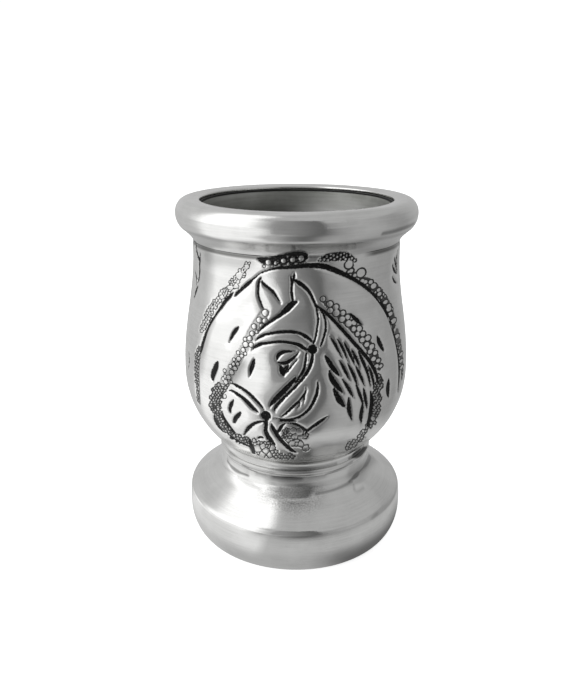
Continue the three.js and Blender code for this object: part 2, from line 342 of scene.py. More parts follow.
FACE = (
    ((276.3, 360.8, 1.4), (277.6, 356.5, 4.6), (281, 353.2, 4.8), (286, 351.8, 4.2), (296, 351.5, 1)),
    ((299, 352.5, 1.4), (294.5, 357.3, 3.6), (290, 361, 4.6), (285, 363.2, 4.8), (278, 362.8, 2)),
    ((280.3, 366.3, 3.4), (281.6, 370, 6.4), (282.6, 373, 6.8), (283.6, 375.8, 2.4)),
    ((288.5, 365.5, 1.6), (286, 369, 5.6), (283.6, 373, 5)),
    ((284.5, 375.5, 1), (289, 369.8, 2.2), (297.5, 359.5, 1.2)),
    ((254, 359, 1.4), (252.8, 363.5, 4.6), (251, 369, 5.2), (249.5, 376.5, 1)),
    ((305.8, 387.5, 1), (306, 392, 2.4), (300, 400.5, 2.8), (296, 404.5, 3.4), (286, 413.8, 3.2),
     (281.5, 417, 1.4)),
    ((305.2, 393, 1.6), (304.4, 399, 2.2), (303.2, 404.5, 1)),
    ((299.5, 402, 1.4), (299.8, 405.5, 1.8), (297, 409, 1)),
    ((318, 382, 1.2), (318, 389, 3.6), (316.5, 396, 4.4), (310.5, 408, 4), (300.5, 417, 3.2),
     (287, 420.6, 3.2), (274, 418.6, 1.2)),
    ((280, 421.5, 1.4), (286, 421.8, 2.2), (296, 422, 1)),
    ((232.8, 400, 1.4), (231, 404, 4.4), (229.2, 409, 3.8), (230, 414, 1)),
    ((240, 413.3, 3), (237.5, 416, 5.8), (234.5, 419.8, 5.8), (233.6, 423.3, 2.4)),
    ((263.5, 422, 2.6), (257, 423, 3.4), (252, 425.5, 4.2), (247.5, 429.5, 5.2), (243.3, 436, 1.4)),
)
BIT_AND_REINS = (
    ((266, 420, 3.4), (266, 425, 4.8), (265.4, 431, 5), (267, 436, 5.2), (270, 440.5, 4.8),
     (274.5, 445.5, 1.6)),
    ((271, 424, 1.4), (273, 429, 4.2), (280, 440, 4.6), (290.5, 450.5, 3.8), (296.5, 453.5, 1)),
    ((286, 423.6, 1), (282, 426.5, 3.8), (279.5, 430.5, 4.6), (277.3, 433.8, 2)),
    ((287, 423.6, 1), (293, 424.5, 2.6), (299, 426.5, 3.2), (308, 432, 2)),
    ((327.6, 417, 1), (323, 420.5, 3.2), (318, 424, 3.8), (308, 431.5, 3.2), (305.5, 435, 1.4)),
    ((263.5, 438.8, 1), (260.5, 438, 2.8), (257.2, 439.3, 1.2)),
    ((249, 440, 1.4), (251, 447, 3.6), (253.5, 454.5, 1.6)),
)
MANE = (
    ((316, 305.5, 2.4), (322, 309.5, 3.8), (334, 320.5, 4.6), (352, 340, 4.8), (369.5, 360, 4.6),
     (377, 374, 3.8), (378.5, 382, 2)),
    ((330, 336.3, 1.2), (334, 342, 3.6), (337.5, 348, 3.8), (342.2, 358, 1)),
    ((337.6, 339, 1.2), (341, 344, 3.4), (344, 350, 3.8), (349, 362, 1)),
    ((344.2, 341.5, 1.2), (347.5, 348, 3.6), (353, 359, 3.4), (355.2, 365, 1)),
    ((352.2, 349, 1.4), (355, 355, 3.8), (358, 361, 3.6), (360.3, 368, 1)),
    ((359.2, 352, 1.4), (362.5, 359, 3.8), (368, 372, 3.4), (371.6, 387, 1.2)),
    ((325.5, 356, 2), (329, 361.5, 6), (332.5, 367, 6.4), (336.5, 372, 5.4), (340.3, 376.3, 1.4)),
    ((329.8, 371, 2), (331.5, 377.5, 6.4), (335.5, 384, 6.8), (340, 389.5, 5), (343.5, 393.5, 1.4)),
    ((339.6, 360.5, 1.4), (343.5, 367, 4), (347, 373.5, 3.8), (350.3, 381, 1.2)),
    ((348.2, 363.5, 1.2), (352, 370.5, 3.8), (355, 377.5, 3.6), (357.8, 385, 1.4)),
    ((356.2, 365.5, 1.2), (359.5, 372.5, 3.8), (362.5, 379, 3.4), (365.2, 386, 1)),
    ((342.6, 379, 1.4), (347, 385.5, 4.2), (350.5, 391.5, 4.2), (354.4, 398.5, 1)),
    ((356.6, 385, 1.4), (359.5, 392, 3.8), (362, 398.5, 3.6), (363.8, 405, 1.4)),
    ((363.4, 403.5, 1.4), (362.6, 411, 4.2), (361.6, 418, 3.6), (362.2, 424.5, 1)),
    ((364.3, 388.5, 1.2), (365.5, 395, 3.6), (366.8, 402, 3.6), (367.8, 409, 1)),
    ((334.3, 389.5, 3), (337.5, 396, 6.8), (341, 402, 7.2), (346.6, 408.6, 1)),
    ((349.3, 397.8, 1.4), (349.4, 405, 4.2), (350, 412, 5.2), (352.4, 421, 1.2)),
    ((371.5, 391.5, 1.4), (372.5, 398, 3.8), (372.5, 406, 4.2), (370, 421, 3.2), (368.3, 427, 1)),
    ((369, 365.5, 1.2), (372, 373, 3.2), (374, 380, 3.2), (375.2, 388, 1)),
)
MUZZLE_EDGES = (
    ((213.6, 416.5, 1.2), (215, 421, 3.4), (218, 427, 3.4), (222, 432, 1.2)),
    ((226, 433.5, 1), (234, 440, 2), (242, 444.3, 2.2), (249, 447.3, 2)),
    ((221.5, 414, 1), (224.5, 421, 2.8), (229.5, 428, 2.6), (234.5, 433.5, 1.2)),
)
SIDE_LEAVES = (
    ((194.8, 245.5, 1.6), (196.3, 253, 1.8), (198, 260, 1.2)),
    ((199.4, 253.5, 1), (198.6, 264, 1.6), (198.5, 273, 1.6), (197.5, 281.5, 1)),
    ((194.3, 271.5, 1), (195.7, 279, 1.5), (195.4, 284.5, 1)),
    ((196.8, 286.5, 1), (194.8, 292, 1.7), (193.2, 297.5, 0.8)),
    ((188.2, 352, 0.8), (188.4, 360, 1.2), (187.4, 369, 0.7)),
    ((398.3, 251, 0.8), (397.6, 257, 1.4), (397.9, 264, 0.8)),
    ((395.4, 258, 0.8), (396.4, 263, 1.5), (398, 270, 1)),
    ((393.3, 265, 0.8), (395, 270, 1.6), (397.8, 273.5, 0.8)),
    ((393.2, 277, 0.8), (395.3, 281, 1.6), (397.6, 283, 0.8)),
)
BROAD_LINES = EARS_AND_FORELOCK + BROW_BAND
FINE_LINES = (HORSESHOE_LINES + NAIL_HOLES + BRIDLE + FACE + BIT_AND_REINS + MANE + MUZZLE_EDGES
              + SIDE_LEAVES)
ROSETTES = ((312.7, 349.6, 4.9), (265.6, 416.2, 5.1))

# Ring punches and beads as (x, y, radius), each set under the name of its band below.
RINGS = {
    "bead_ground": ((268, 262.6, 2.7), (283.3, 261, 2.5), (292.6, 259.8, 2.6), (301.2, 258.4, 2.9),
                    (275.4, 263.4, 1.7), (279, 265.6, 1.4), (288, 264.8, 1.6), (296, 264.4, 1.7),
                    (271.6, 266.8, 1.5), (305, 263, 1.4), (287.6, 257, 1.2), (264, 266.4, 1.5)),
    "horseshoe_left": ((239, 275.5, 3.2), (246.5, 266.5, 2), (236, 286, 2.2), (230, 288, 1.8),
                       (221, 297, 1.8)),
    "horseshoe_right": ((366, 282, 2.4), (371, 282, 2.5), (363, 281, 2.5), (374, 286, 3.2), (380, 294, 2.5),
                        (379, 290, 2.3), (386, 302, 2.5), (389, 306, 2.4), (389.5, 309, 2.8), (391, 314, 2.5),
                        (394, 321, 3)),
    "right_heel": ((397.5, 336.5, 2.5), (401.5, 354, 2), (401.5, 361, 2), (402, 367, 2)),
    "loose": ((349, 264.6, 4.5), (361.3, 273, 4.8), (351.6, 270.8, 2.6), (349, 272, 2), (355.2, 275.4, 2.5)),
    "nose": ((265, 313, 3.5), (265, 321, 3), (259, 320, 3), (261.5, 326, 2.6), (254, 326.5, 2.8),
             (252, 333.5, 2.6), (249.5, 338.5, 2.6), (251, 345, 2.6), (245.5, 344.5, 3), (243, 350, 2.4),
             (238.5, 359, 2.4), (241.5, 356, 2), (237.5, 364, 2), (235, 368.5, 2.3), (231.5, 372.5, 2.5),
             (228.5, 377.5, 2.4), (225.5, 382, 2.3), (222.5, 387, 2.8), (219, 391, 2.3), (215, 390.5, 2.2),
             (213, 395, 2.2), (217, 397.5, 2.2), (224, 396, 2.3)),
    "mane": ((323, 299, 3), (330, 304, 3.4), (336, 307, 3.2), (330.5, 310.5, 3.2), (336.5, 313, 3.8),
             (343, 313, 3), (342.3, 319.2, 3.4), (348, 317, 3), (349, 323.4, 3.8), (354.6, 322.6, 3.2),
             (354, 329, 3), (359.6, 328.6, 3.2), (357.8, 334, 2.8), (363, 334, 3), (362.5, 340, 3),
             (368, 338, 3.2), (367, 344.5, 3), (372, 346.5, 3), (370.4, 351.6, 2.8), (375.4, 353, 2.6),
             (374, 359, 2.8), (378.5, 360.6, 2.5), (377, 366.6, 2.8), (381, 366, 2.2)),
    "neck": ((382.5, 391.5, 2.5), (373.5, 419, 2)),
    "chin": ((293, 431.5, 2.4), (299.5, 432.5, 3), (295, 436.4, 2), (300.6, 438, 2.2), (305, 437, 1.6)),
    "chin_low": ((292, 443.5, 2.4), (301, 444.5, 2.2), (299.5, 449.4, 2.2), (306, 448.5, 2.4)),
    "beard": ((257, 449, 3), (263, 446, 2.3), (272, 448, 2.2), (266, 451, 2.4), (262, 456, 3),
              (270, 455, 2.3)),
}

# Smudges of old polish in the waist, on the foot and on the rim: path as points of (x, y, width), and how
# dark it is. A width below nothing makes a smudge thin out before its end.
SMUDGES = (
    (((258, 474.5, -1), (266, 477, 2), (280, 478.3, 4.6), (296, 479, 4.6), (305, 478.5, 0)), 1.0),
    (((305, 478.5, 0.6), (330, 473.5, 0.8), (352, 462, 0)), 0.5),
    (((227.5, 461, -1), (232, 467, 1.6), (239, 472, 1.2), (248, 475.5, -2.6)), 0.75),
    (((243, 465, -2), (252, 470.5, 0.8), (262, 474, 1.6), (272, 476.5, -1)), 0.7),
    (((268, 469.5, -2), (284, 470.6, 1), (298, 470.5, 1.2), (315, 469, 1), (336, 463.5, -2)), 0.55),
    (((349, 458, -2), (356, 454, 5.5), (362, 450.5, 5), (368, 446.5, -1)), 1.0),
    (((372, 450, -2), (369.5, 457, 3.5), (366, 464, 2.6), (361, 470, -0.5), (356, 475, 3),
      (349, 482, -1.5)), 0.75),
    (((352, 481.5, -1), (342, 486.5, 0.4), (330, 491, 0.4), (316, 494, -2)), 0.5),
    (((353.5, 485, 0.4), (355.5, 491, 0.8), (363.5, 488, -1)), 0.25),
    (((238, 477, -1), (248, 483, 4), (260, 489.5, -1)), 0.25),
    (((372, 518.5, 0.6), (375, 515.5, 1.2), (377.5, 513.5, 0.6)), 0.25),
    (((383, 233.6, 1.2), (395, 231, 1.4), (408, 226.6, 1.5), (414.5, 223.5, 1.2)), 0.6),
)

# Soft films, partly residue and partly painted shade: in the waist, under the throat's crease and in the band
# along the nose.
SHADE_AND_RESIDUE_FILMS = (
    # Waist's left: painted shadow of the collar's bead, with some residue.
    (((231, 457, 3), (243, 463, 5), (256, 468, 6), (270, 474, 4)), 0.38),
    (((352, 472, 5), (364, 464, 6), (375, 453, 5)), 0.38),
    # Under the throat's crease: painted shade under the rim, with some old film.
    (((209, 256, 8), (226, 257, 8), (246, 259, 10)), 0.18),
    # Along the nose band's right edge: painted shadow over the band's dark ground.
    (((240, 364, 2), (236, 370, 4), (231, 378, 4)), 0.4),
)

# Bands of punched texture: path as points of (x, y, band width), cell width, share of a cell that its ring
# fills or 0 for touching cells, darkness of the ground between rings or of the film on cells, and width of
# the dark line round each.
PUNCHED_BANDS = {
    "horseshoe_left": (((248, 264, 5), (239, 276, 9), (228, 289.5, 8.5), (213.5, 304.5, 8), (206, 319, 6.5),
                        (201.5, 332, 4)), 2.7, 0, 0.12, 0.7),
    "left_heel": (((198.5, 350, 4), (197, 358, 5), (196.6, 376, 4.4), (198.3, 401, 2.5)), 4, 0.8, 0.8, 1.0),
    "horseshoe_right": (((362, 279, 5), (369, 282.5, 7.5), (380, 293, 7), (388, 306, 6.5), (393, 319, 5),
                         (394.6, 326, 3)), 4.4, 0.9, 0.9, 1.3),
    "right_heel": (((397.5, 332, 3), (401, 350, 2.6), (402.6, 370, 2.4),
                    (402, 378, 1.5)), 4.5, 0.8, 0.8, 1.2),
    "loose": (((351.5, 269, 1), (352.5, 272, 2), (353, 274, 1)), 4, 0.5, 0.9, 1.7),
    "crown": (((319, 260.8, 2.5), (326, 258, 7), (337, 256.2, 9), (347, 257, 8.5),
               (355.5, 261, 4)), 3.6, 0.7, 1.0, 0.4),
    "bead_ground": (((258, 259, 2.5), (263, 260.5, 6), (271, 261, 9), (281, 260.5, 11.5), (291, 259, 14.5),
                     (299, 257, 14.5), (303, 257, 10)), 2.6, 0.5, 1.0, 0.7),
    "nose": (((267, 310, 3), (264.5, 314.5, 9), (254.5, 329, 10), (245.5, 346, 9), (236, 362, 10),
              (227, 378, 10.5), (221, 388, 9)), 4.8, 0.9, 0.3, 0.9),
    "muzzle": (((228, 384, 5), (220, 389, 14), (216, 398, 12), (216, 408, 11), (218, 415, 7.5),
                (223.5, 426, 5), (233, 436, 7), (243, 440.5, 7.5), (251, 442.5, 6)), 2.8, 0, 0.5, 1.1),
    "mane": (((322, 299.5, 3), (328, 304.5, 6), (342, 316.5, 9), (356, 329.5, 9), (368, 344, 8.5),
              (376.5, 359.5, 7), (380, 369, 3)), 6, 1.0, 0.9, 1.4),
    "neck": (((379.5, 374, 3), (379.5, 384, 7), (377, 400, 9), (374.5, 415, 9),
              (370.5, 425, 7)), 2.9, 0, 0.5, 1.1),
    "neck_end": (((368.5, 427, 5), (363, 434, 6), (357.5, 441, 6.5), (351, 445.5, 7.5),
                  (347, 448.5, 4)), 2.9, 0, 0.1, 0.9),
    "chin": (((293, 428, 6), (296, 433, 12), (300, 434.5, 10), (304.5, 436, 7),
              (309, 438, 3)), 3.4, 0, 0.35, 1.0),
    "chin_low": (((291, 439, 9), (296.5, 442.5, 11), (302, 446, 8.5), (308, 448.5, 4)), 3.3, 0, 0.3, 1.0),
    "chin_left": (((289, 428, 3), (287, 432, 8), (284.5, 437, 6)), 2.3, 0, 0.5, 0.9),
    "beard": (((252, 442, 5), (257, 446, 10), (262, 450, 15), (268, 450, 15), (275, 454.5, 8), (283, 457, 6),
               (292, 457, 4)), 3.2, 0, 0.28, 0.95),
}

# Leaf branches on both sides, going on from the tips that the photograph shows: degrees from the front,
# millimetres, and shares of a leaf.
BRANCH_TURN = 105
BRANCH_SWAY = 3
BRANCH_FOOT = 46
BRANCH_TOP = 87
BRANCH_STEM = 0.7
BRANCH_LEAVES = 8
LEAF_SPAN = 15
LEAF_RISE = 5.5
LEAF_WIDTH = 1.7
STEM_TAPER = 1.1
LEAF_GAP = 0.1
LEAF_FULL = 1.1
LEAF_START = 0.04
LEAF_SHARE = 0.94
LEAF_BEND = 1.4
LEAF_SHRINK = 0.4
TIP_LEAN = 0.1
STEM_POINTS = 80
LEAF_POINTS = 16

# Grainy patch on the foot's dome: path as points of (x, y, width).
SAND = ((266, 494, 3), (284, 500, 14), (303, 500, 18), (319, 492, 4))


def length(name, description, millimetres):
    """A size property, written in millimetres and kept in metres."""
    return FloatProperty(name=name, description=description, default=millimetres * MM, unit="LENGTH",
                         precision=5)


def colour(name, description, rgb):
    """A colour property."""
    return FloatVectorProperty(name=name, description=description, default=rgb, subtype="COLOR", size=3,
                               min=0, max=1)


def amount(name, description, value):
    """A plain number property."""
    return FloatProperty(name=name, description=description, default=value)


class MateCupSizes(bpy.types.PropertyGroup):
    """Real sizes of the cup's pieces."""

    sheet: length("Sheet", "Thickness of the spun sheet", 0.6)
    foot_radius: length("Foot radius", "Widest radius of the foot", 34.5)
    foot_base: length("Foot base", "Radius of the flat that it stands on", 30)
    foot_flange: length("Foot flange", "Inner radius of the edge folded under the foot", 22)
    foot_flank: length("Foot flank", "Height of the rounded flank", 8.6)
    crease_radius: length("Crease radius", "Radius where the band meets the dome", 34.05)
    crease_height: length("Crease height", "Height where the band meets the dome", 14.9)
    crease_round: length("Crease round", "Length of the soft turn on each side of the crease", 1.1)
    dome_top_radius: length("Dome top radius", "Radius where the dome starts to hollow up to the waist", 26.2)
    dome_top: length("Dome top", "Height where the dome starts to hollow up to the waist", 20.45)
    joint_radius: length("Joint radius", "Radius of the joint between foot and collar", 24.25)
    joint_height: length("Joint height", "Height of the joint between foot and collar", 22.64)
    waist_radius: length("Waist radius", "Radius of the collar", 23.6)
    waist_corner: length("Waist corner", "Height of the corner that the hollow rounds off", 22.3)
    waist_straight: length("Waist straight", "Height where the collar becomes upright", 25.5)
    waist_hollow: length("Waist hollow", "How far below its upright part the collar's hollow heads", 1.7)
    waist_top: length("Waist top", "Height of the collar's top edge", 28.18)
    joint_round: length("Joint round", "Round of the two edges that meet at the waist", 0.22)
    waist_bead: length("Waist bead", "Height of the bead on the collar's top edge", 0.9)
    bead_lap: length("Bead lap", "How far the collar's bead stands out past its own half", 0.05)
    lip_low: length("Lip foot", "Height of the underside of the body's rolled lip", 28.2)
    lip_high: length("Lip top", "Height of the upper side of the body's rolled lip", 29.6)
    lip_radius: length("Lip radius", "Outer radius of the rolled lip", 24.1)
    tail_radius: length("Tail radius", "Outer radius of the body's tail inside the collar", 22.8)
    tail_foot: length("Tail foot", "Lower end of the body's tail", 25.6)
    neck_radius: length("Neck radius", "Radius of the neck above the lip", 23.3)
    neck_foot: length("Neck foot", "How far above the rolled lip the neck starts", 0.15)
    neck_top: length("Neck top", "Height where the neck turns into the bowl", 31.9)
    neck_round: length("Neck round", "Length of the soft turn on each side of the neck's top", 1.2)
    tail_rise: length("Tail rise", "How far above the neck's top the wall inside starts to widen", 0.4)
    bowl_corner_radius: length("Bowl corner radius", "Radius of the corner that the bowl heads for", 28.6)
    bowl_corner: length("Bowl corner", "Height of the corner that the bowl heads for", 35.3)
    belly_radius: length("Belly radius", "Widest radius of the body", 34.25)
    belly_height: length("Belly height", "Height of the widest part of the body", 54.3)
    belly_low: length("Belly low", "How far the belly's upright pull reaches down", 9.8)
    belly_high: length("Belly high", "How far the belly's upright pull reaches up", 16.3)
    throat_radius: length("Throat radius", "Radius of the body under the rim", 30.35)
    throat_height: length("Throat height", "Height where the throat becomes upright", 92.2)
    throat_low: length("Throat low", "How far the throat's upright pull reaches down", 14.3)
    body_top: length("Body top", "Top edge of the body sheet", 94.15)
    rim_foot: length("Rim foot", "Lower edge of the rim ring", 94.75)
    cove_rise: length("Cove rise", "How far the cove first runs straight up", 1)
    cove_radius: length("Cove radius", "Radius where the cove meets the lower bead", 33.55)
    cove_height: length("Cove height", "Height where the cove meets the lower bead", 98.45)
    rim_corner: length("Rim corner", "Height of the corner that the lower bead rounds off", 99.9)
    rim_radius: length("Rim radius", "Widest radius of the rim", 35)
    rim_middle: length("Rim middle", "Height of the rim's widest part", 102.25)
    rim_crest: length("Rim crest", "Radius of the rim's highest line", 31.8)
    crest_level: length("Crest level", "How far inward the crest's level pull reaches", 1)
    height: length("Height", "Overall height", 106.2)
    mouth_radius: length("Mouth radius", "Radius of the mouth's edge", 28.4)
    mouth_height: length("Mouth height", "Height of the mouth's edge", 105.9)
    mouth_run: length("Mouth run", "How far outward the slope down to the mouth's edge starts", 0.6)
    mouth_fall: length("Mouth fall", "How far that slope falls", 0.12)
    hem_radius: length("Hem radius", "Inner radius of the hem", 27.95)
    hem_round: length("Hem round", "Height of the round from the mouth's edge into the hem", 0.45)
    hem_depth: length("Hem depth", "Height of the hem", 0.75)
    hem_fold: length("Hem fold", "How far the hem's back stays under the rim's sheet", 0.12)
    seal_height: length("Seal height", "Underside of the seal", 104.45)
    seal_top: length("Seal top", "Upper side of the seal", 104.95)
    seal_inner: length("Seal inner radius", "Inner radius of the seal", 27.55)
    seal_outer: length("Seal outer radius", "Outer radius of the seal", 28.55)
    liner_top: length("Liner top", "Height of the liner's lip", 104.25)
    liner_radius: length("Liner radius", "Inner radius of the liner at the lip", 27.3)
    liner_bead: length("Liner bead", "Height of the small rolled bead on the liner's lip", 0.5)
    liner_edge: length("Liner edge", "Width of the flat on the liner's bead", 0.03)
    liner_flange: length("Liner flange", "Outer radius of the liner's flange", 29.4)
    liner_low_radius: length("Liner low radius", "Inner radius where the liner's bottom starts", 19)
    liner_low: length("Liner low", "Height where the liner's bottom starts", 52.25)
    liner_floor: length("Liner floor", "Height of the liner's bottom", 36.25)
    liner_corner_radius: length("Liner corner radius", "Radius that the liner's wall heads for", 17.72)
    liner_corner: length("Liner corner", "Height that the liner's wall heads for", 44.25)
    liner_flat: length("Liner flat", "How far out the bottom's level pull reaches", 10)
    glue_gap: length("Glue gap", "Gap for glue between a sheet and the wood", 0.2)
    core_foot: length("Core foot", "Height of the wood's underside", 0.8)
    core_waist: length("Core waist", "Radius of the wood at the waist", 22)
    core_shoulder: length("Core shoulder", "How far the wood's shoulder stands out from its waist", 1.6)
    core_dome: length("Core dome", "Height of the wood's shoulder", 20.6)
    core_neck: length("Core neck", "Height where the wood's waist becomes upright", 22.4)
    core_rise: length("Core rise", "How far above the neck's top the wood starts to widen", 0.6)
    core_top: length("Core top", "Height of the wood's top edge", 103.4)
    bore_tip: length("Bore tip", "Radius of the plain middle of the bore's bottom", 0.3)
    groove_depth: length("Groove depth", "Depth of the chased lines", 0.34)
    groove_shoulder: length("Groove shoulder", "Width of the rounded shoulder of a chased line", 0.38)
    dent_depth: length("Dent depth", "How far the sheet sinks beside the chased lines", 0.13)
    dent_reach: length("Dent reach", "How far from a line the sheet sinks", 1.4)
    crease_line: length("Throat crease", "Height of the soft turned crease under the rim", 94.2)
    crease_width: length("Throat crease width", "Half width of the soft turned crease", 0.62)
    crease_depth: length("Throat crease depth", "Depth of the soft turned crease", 0.16)
    smudge_reach: length("Smudge reach", "How far a smudge fades out beside its path", 0.38)
    film_reach: length("Film reach", "Width over which a soft film on the metal fades", 1.6)
    ring_height: length("Ring height", "Height of a ring punch above its ground", 0.14)


class MateCupFinish(bpy.types.PropertyGroup):
    """Colours of the cup's finishes."""

    aluminium: colour("Aluminium", "Satin aluminium", (0.84, 0.84, 0.83))
    aluminium_worn: colour("Worn aluminium", "Aluminium where hands have dulled it", (0.66, 0.66, 0.65))
    liner: colour("Liner", "Dull aluminium of the liner", (0.46, 0.465, 0.45))
    liner_stain: colour("Liner stain", "Tea film on the liner", (0.30, 0.305, 0.285))
    # The tea film's dark, also used as painted shade deep on the liner's left.
    liner_tea_and_shade: colour("Deep stain", "Thicker tea film deeper in the liner", (0.115, 0.115, 0.105))
    patina: colour("Patina", "Black in the chased lines", (0.006, 0.006, 0.006))
    # Also the colour of the painted shadow along the throat's crease and of the films.
    thin_patina_and_shade: colour("Thin patina", "Grey film beside the black", (0.16, 0.16, 0.155))
    # Also the colour of the painted shade in the rim's cove, at its fold and in the soft films.
    grime_and_shade: colour("Grime", "Old polish left in grooves", (0.035, 0.035, 0.034))
    seal: colour("Seal", "Black seal", (0.012, 0.012, 0.012))
    seal_dust: colour("Seal dust", "Greyer bloom on the seal", (0.045, 0.045, 0.042))
    wood: colour("Wood", "Heart of the turned wood", (0.16, 0.075, 0.033))
    wood_dark: colour("Dark wood", "Late rings of the turned wood", (0.065, 0.028, 0.013))
    floor: colour("Floor", "Pale floor", (0.92, 0.92, 0.92))


class MateCupStage(bpy.types.PropertyGroup):
    """Where the camera stands and how bright the soft box is."""

    camera_right: length("Camera right", "Camera to the right of the cup's axis", -3.75)
    camera_distance: length("Camera distance", "Camera in front of the cup's axis", 200.41)
    camera_height: length("Camera height", "Camera above the floor", 131.44)
    camera_pitch: FloatProperty(name="Camera pitch", description="How far the camera looks down",
                                default=math.radians(19.915), subtype="ANGLE")
    focal_pixels: amount("Focal length", "Focal length in pixels of the photograph", 681.9)
    top_power: amount("Top soft box", "Power of the soft box above, in watts", 1.0)


def sizes():
    """The cup's sizes as they stand in the scene."""
    return bpy.context.scene.mate_cup_sizes


def finish():
    """The cup's colours as they stand in the scene."""
    return bpy.context.scene.mate_cup_finish


def stage():
    """The stage's settings as they stand in the scene."""
    return bpy.context.scene.mate_cup_stage


def at(radius, height):
    """A point of an outline."""
    return Vector((radius, height))


def curve(start, first, second, end, steps):
    """A cubic curve through the outline plane, without its first point."""
    return [at(p.x, p.y) for p in interpolate_bezier(start, first, second, end, steps + 1)][1:]


def straight(start, end, steps):
    """A straight run in even steps, without its first point."""
    return [start.lerp(end, (i + 1) / steps) for i in range(steps)]


def bow(start, corner, end, steps):
    """A quadratic curve that heads for one corner, without its first point."""
    return curve(start, start.lerp(corner, 2 / 3), end.lerp(corner, 2 / 3), end, steps)


def quarter(start, corner, end, steps):
    """A quarter of an ellipse that rounds off one corner, without its first point."""
    return curve(start, start.lerp(corner, QUARTER_ROUND), end.lerp(corner, QUARTER_ROUND), end, steps)


def rounded(before, corner, after, reach, steps):
    """A soft turn at a corner, starting and ending reach away from it."""
    start = corner + (before - corner).normalized() * reach
    end = corner + (after - corner).normalized() * reach
    return [start] + bow(start, corner, end, steps)


def inset(line, thickness):
    """The line moved to its left by the thickness of a sheet, with mitred corners."""
    moved = []
    for i, here in enumerate(line):
        back = (here - line[i - 1]).normalized() if i > 0 else None
        ahead = (line[i + 1] - here).normalized() if i < len(line) - 1 else back
        back = back or ahead
        mean = (back + ahead).normalized()
        left = at(-mean.y, mean.x)
        moved.append(here + left * (thickness / max(mean.dot(back), SHARPEST_MITRE)))
    return moved


def wall(line, thickness):
    """A closed section: the outer line, and back along its inner side."""
    return line + inset(line, thickness)[::-1]


def foot_line(s):
    """Outer line of the foot, from the folded flange up to the joint under the collar."""
    corner = at(s.foot_radius, 0)
    hip = at(s.foot_radius, s.foot_flank)
    crease = at(s.crease_radius, s.crease_height)
    dome = at(s.dome_top_radius, s.dome_top)
    line = [at(s.foot_flange, 0), at(s.foot_base, 0)]
    line += quarter(line[-1], corner, hip, steps=22)
    band_corner = at(s.foot_radius, (s.foot_flank + s.crease_height) / 2)
    band_end = crease + (band_corner - crease).normalized() * s.crease_round
    line += bow(hip, band_corner, band_end, steps=10)
    line += rounded(band_corner, crease, dome, s.crease_round, steps=8)[1:]
    line += straight(line[-1], dome, steps=8)
    hollow = dome.lerp(at(s.waist_radius, s.waist_corner), 0.5)
    line += bow(dome, hollow, at(s.joint_radius, s.joint_height), steps=10)
    return line


def waist_line(s):
    """Outer line of the collar, from the joint up to its beaded top edge."""
    bead = s.waist_bead / 2
    upright = at(s.waist_radius, s.waist_straight)
    line = [at(s.joint_radius - JOINT_GAP / 2, s.joint_height + JOINT_GAP)]
    line += bow(line[-1], at(s.waist_radius, s.waist_straight - s.waist_hollow), upright, steps=10)
    line.append(at(s.waist_radius, s.waist_top - s.waist_bead))
    out = at(s.waist_radius + bead + s.bead_lap, s.waist_top - bead)
    line += quarter(line[-1], at(out.x, line[-1].y), out, steps=5)
    line.append(at(out.x, s.waist_top - s.joint_round))
    line += quarter(line[-1], at(out.x, s.waist_top), at(out.x - s.joint_round, s.waist_top), steps=4)
    line.append(at(s.waist_radius - s.sheet / 2, s.waist_top))
    return line


def body_curve(s, bowl_steps, shoulder_steps):
    """The chased part of the body, from the neck up to the throat."""
    neck = at(s.neck_radius, s.neck_top)
    belly = at(s.belly_radius, s.belly_height)
    throat = at(s.throat_radius, s.throat_height)
    bowl = at(s.bowl_corner_radius, s.bowl_corner)
    line = [neck]
    line += curve(neck, bowl, belly - at(0, s.belly_low), belly, bowl_steps)
    line += curve(belly, belly + at(0, s.belly_high), throat - at(0, s.throat_low), throat, shoulder_steps)
    return line


def body_section(s):
    """Closed section of the body: tail, rolled lip, neck and chased curve outside, a plain wall inside."""
    roll = (s.lip_high - s.lip_low) / 2
    roll_in = s.lip_radius - roll
    out = at(s.lip_radius, s.lip_low + roll)
    line = [at(s.tail_radius, s.tail_foot), at(s.tail_radius, s.lip_low), at(roll_in, s.lip_low)]
    line.append(at(s.lip_radius - s.joint_round, s.lip_low))
    line += quarter(line[-1], at(out.x, s.lip_low), at(out.x, s.lip_low + s.joint_round), steps=4)
    line.append(out)
    line += quarter(out, at(out.x, s.lip_high), at(roll_in, s.lip_high), steps=6)
    line.append(at(s.neck_radius, s.lip_high + s.neck_foot))
    chased = body_curve(s, bowl_steps=76, shoulder_steps=124)
    line += rounded(line[-1], chased[0], chased[4], s.neck_round, steps=5)
    line += [p for p in chased if p.y > line[-1].y + CLEAR_STEP]
    top = at(s.throat_radius, s.rim_foot - HAIRLINE)
    line += straight(line[-1], top, steps=9)
    back = [at(s.tail_radius, s.tail_foot), at(s.tail_radius, s.neck_top + s.tail_rise)]
    back += body_curve(s, bowl_steps=7, shoulder_steps=9)[1:]
    back.append(top)
    return line + inset(back, s.sheet)[::-1]


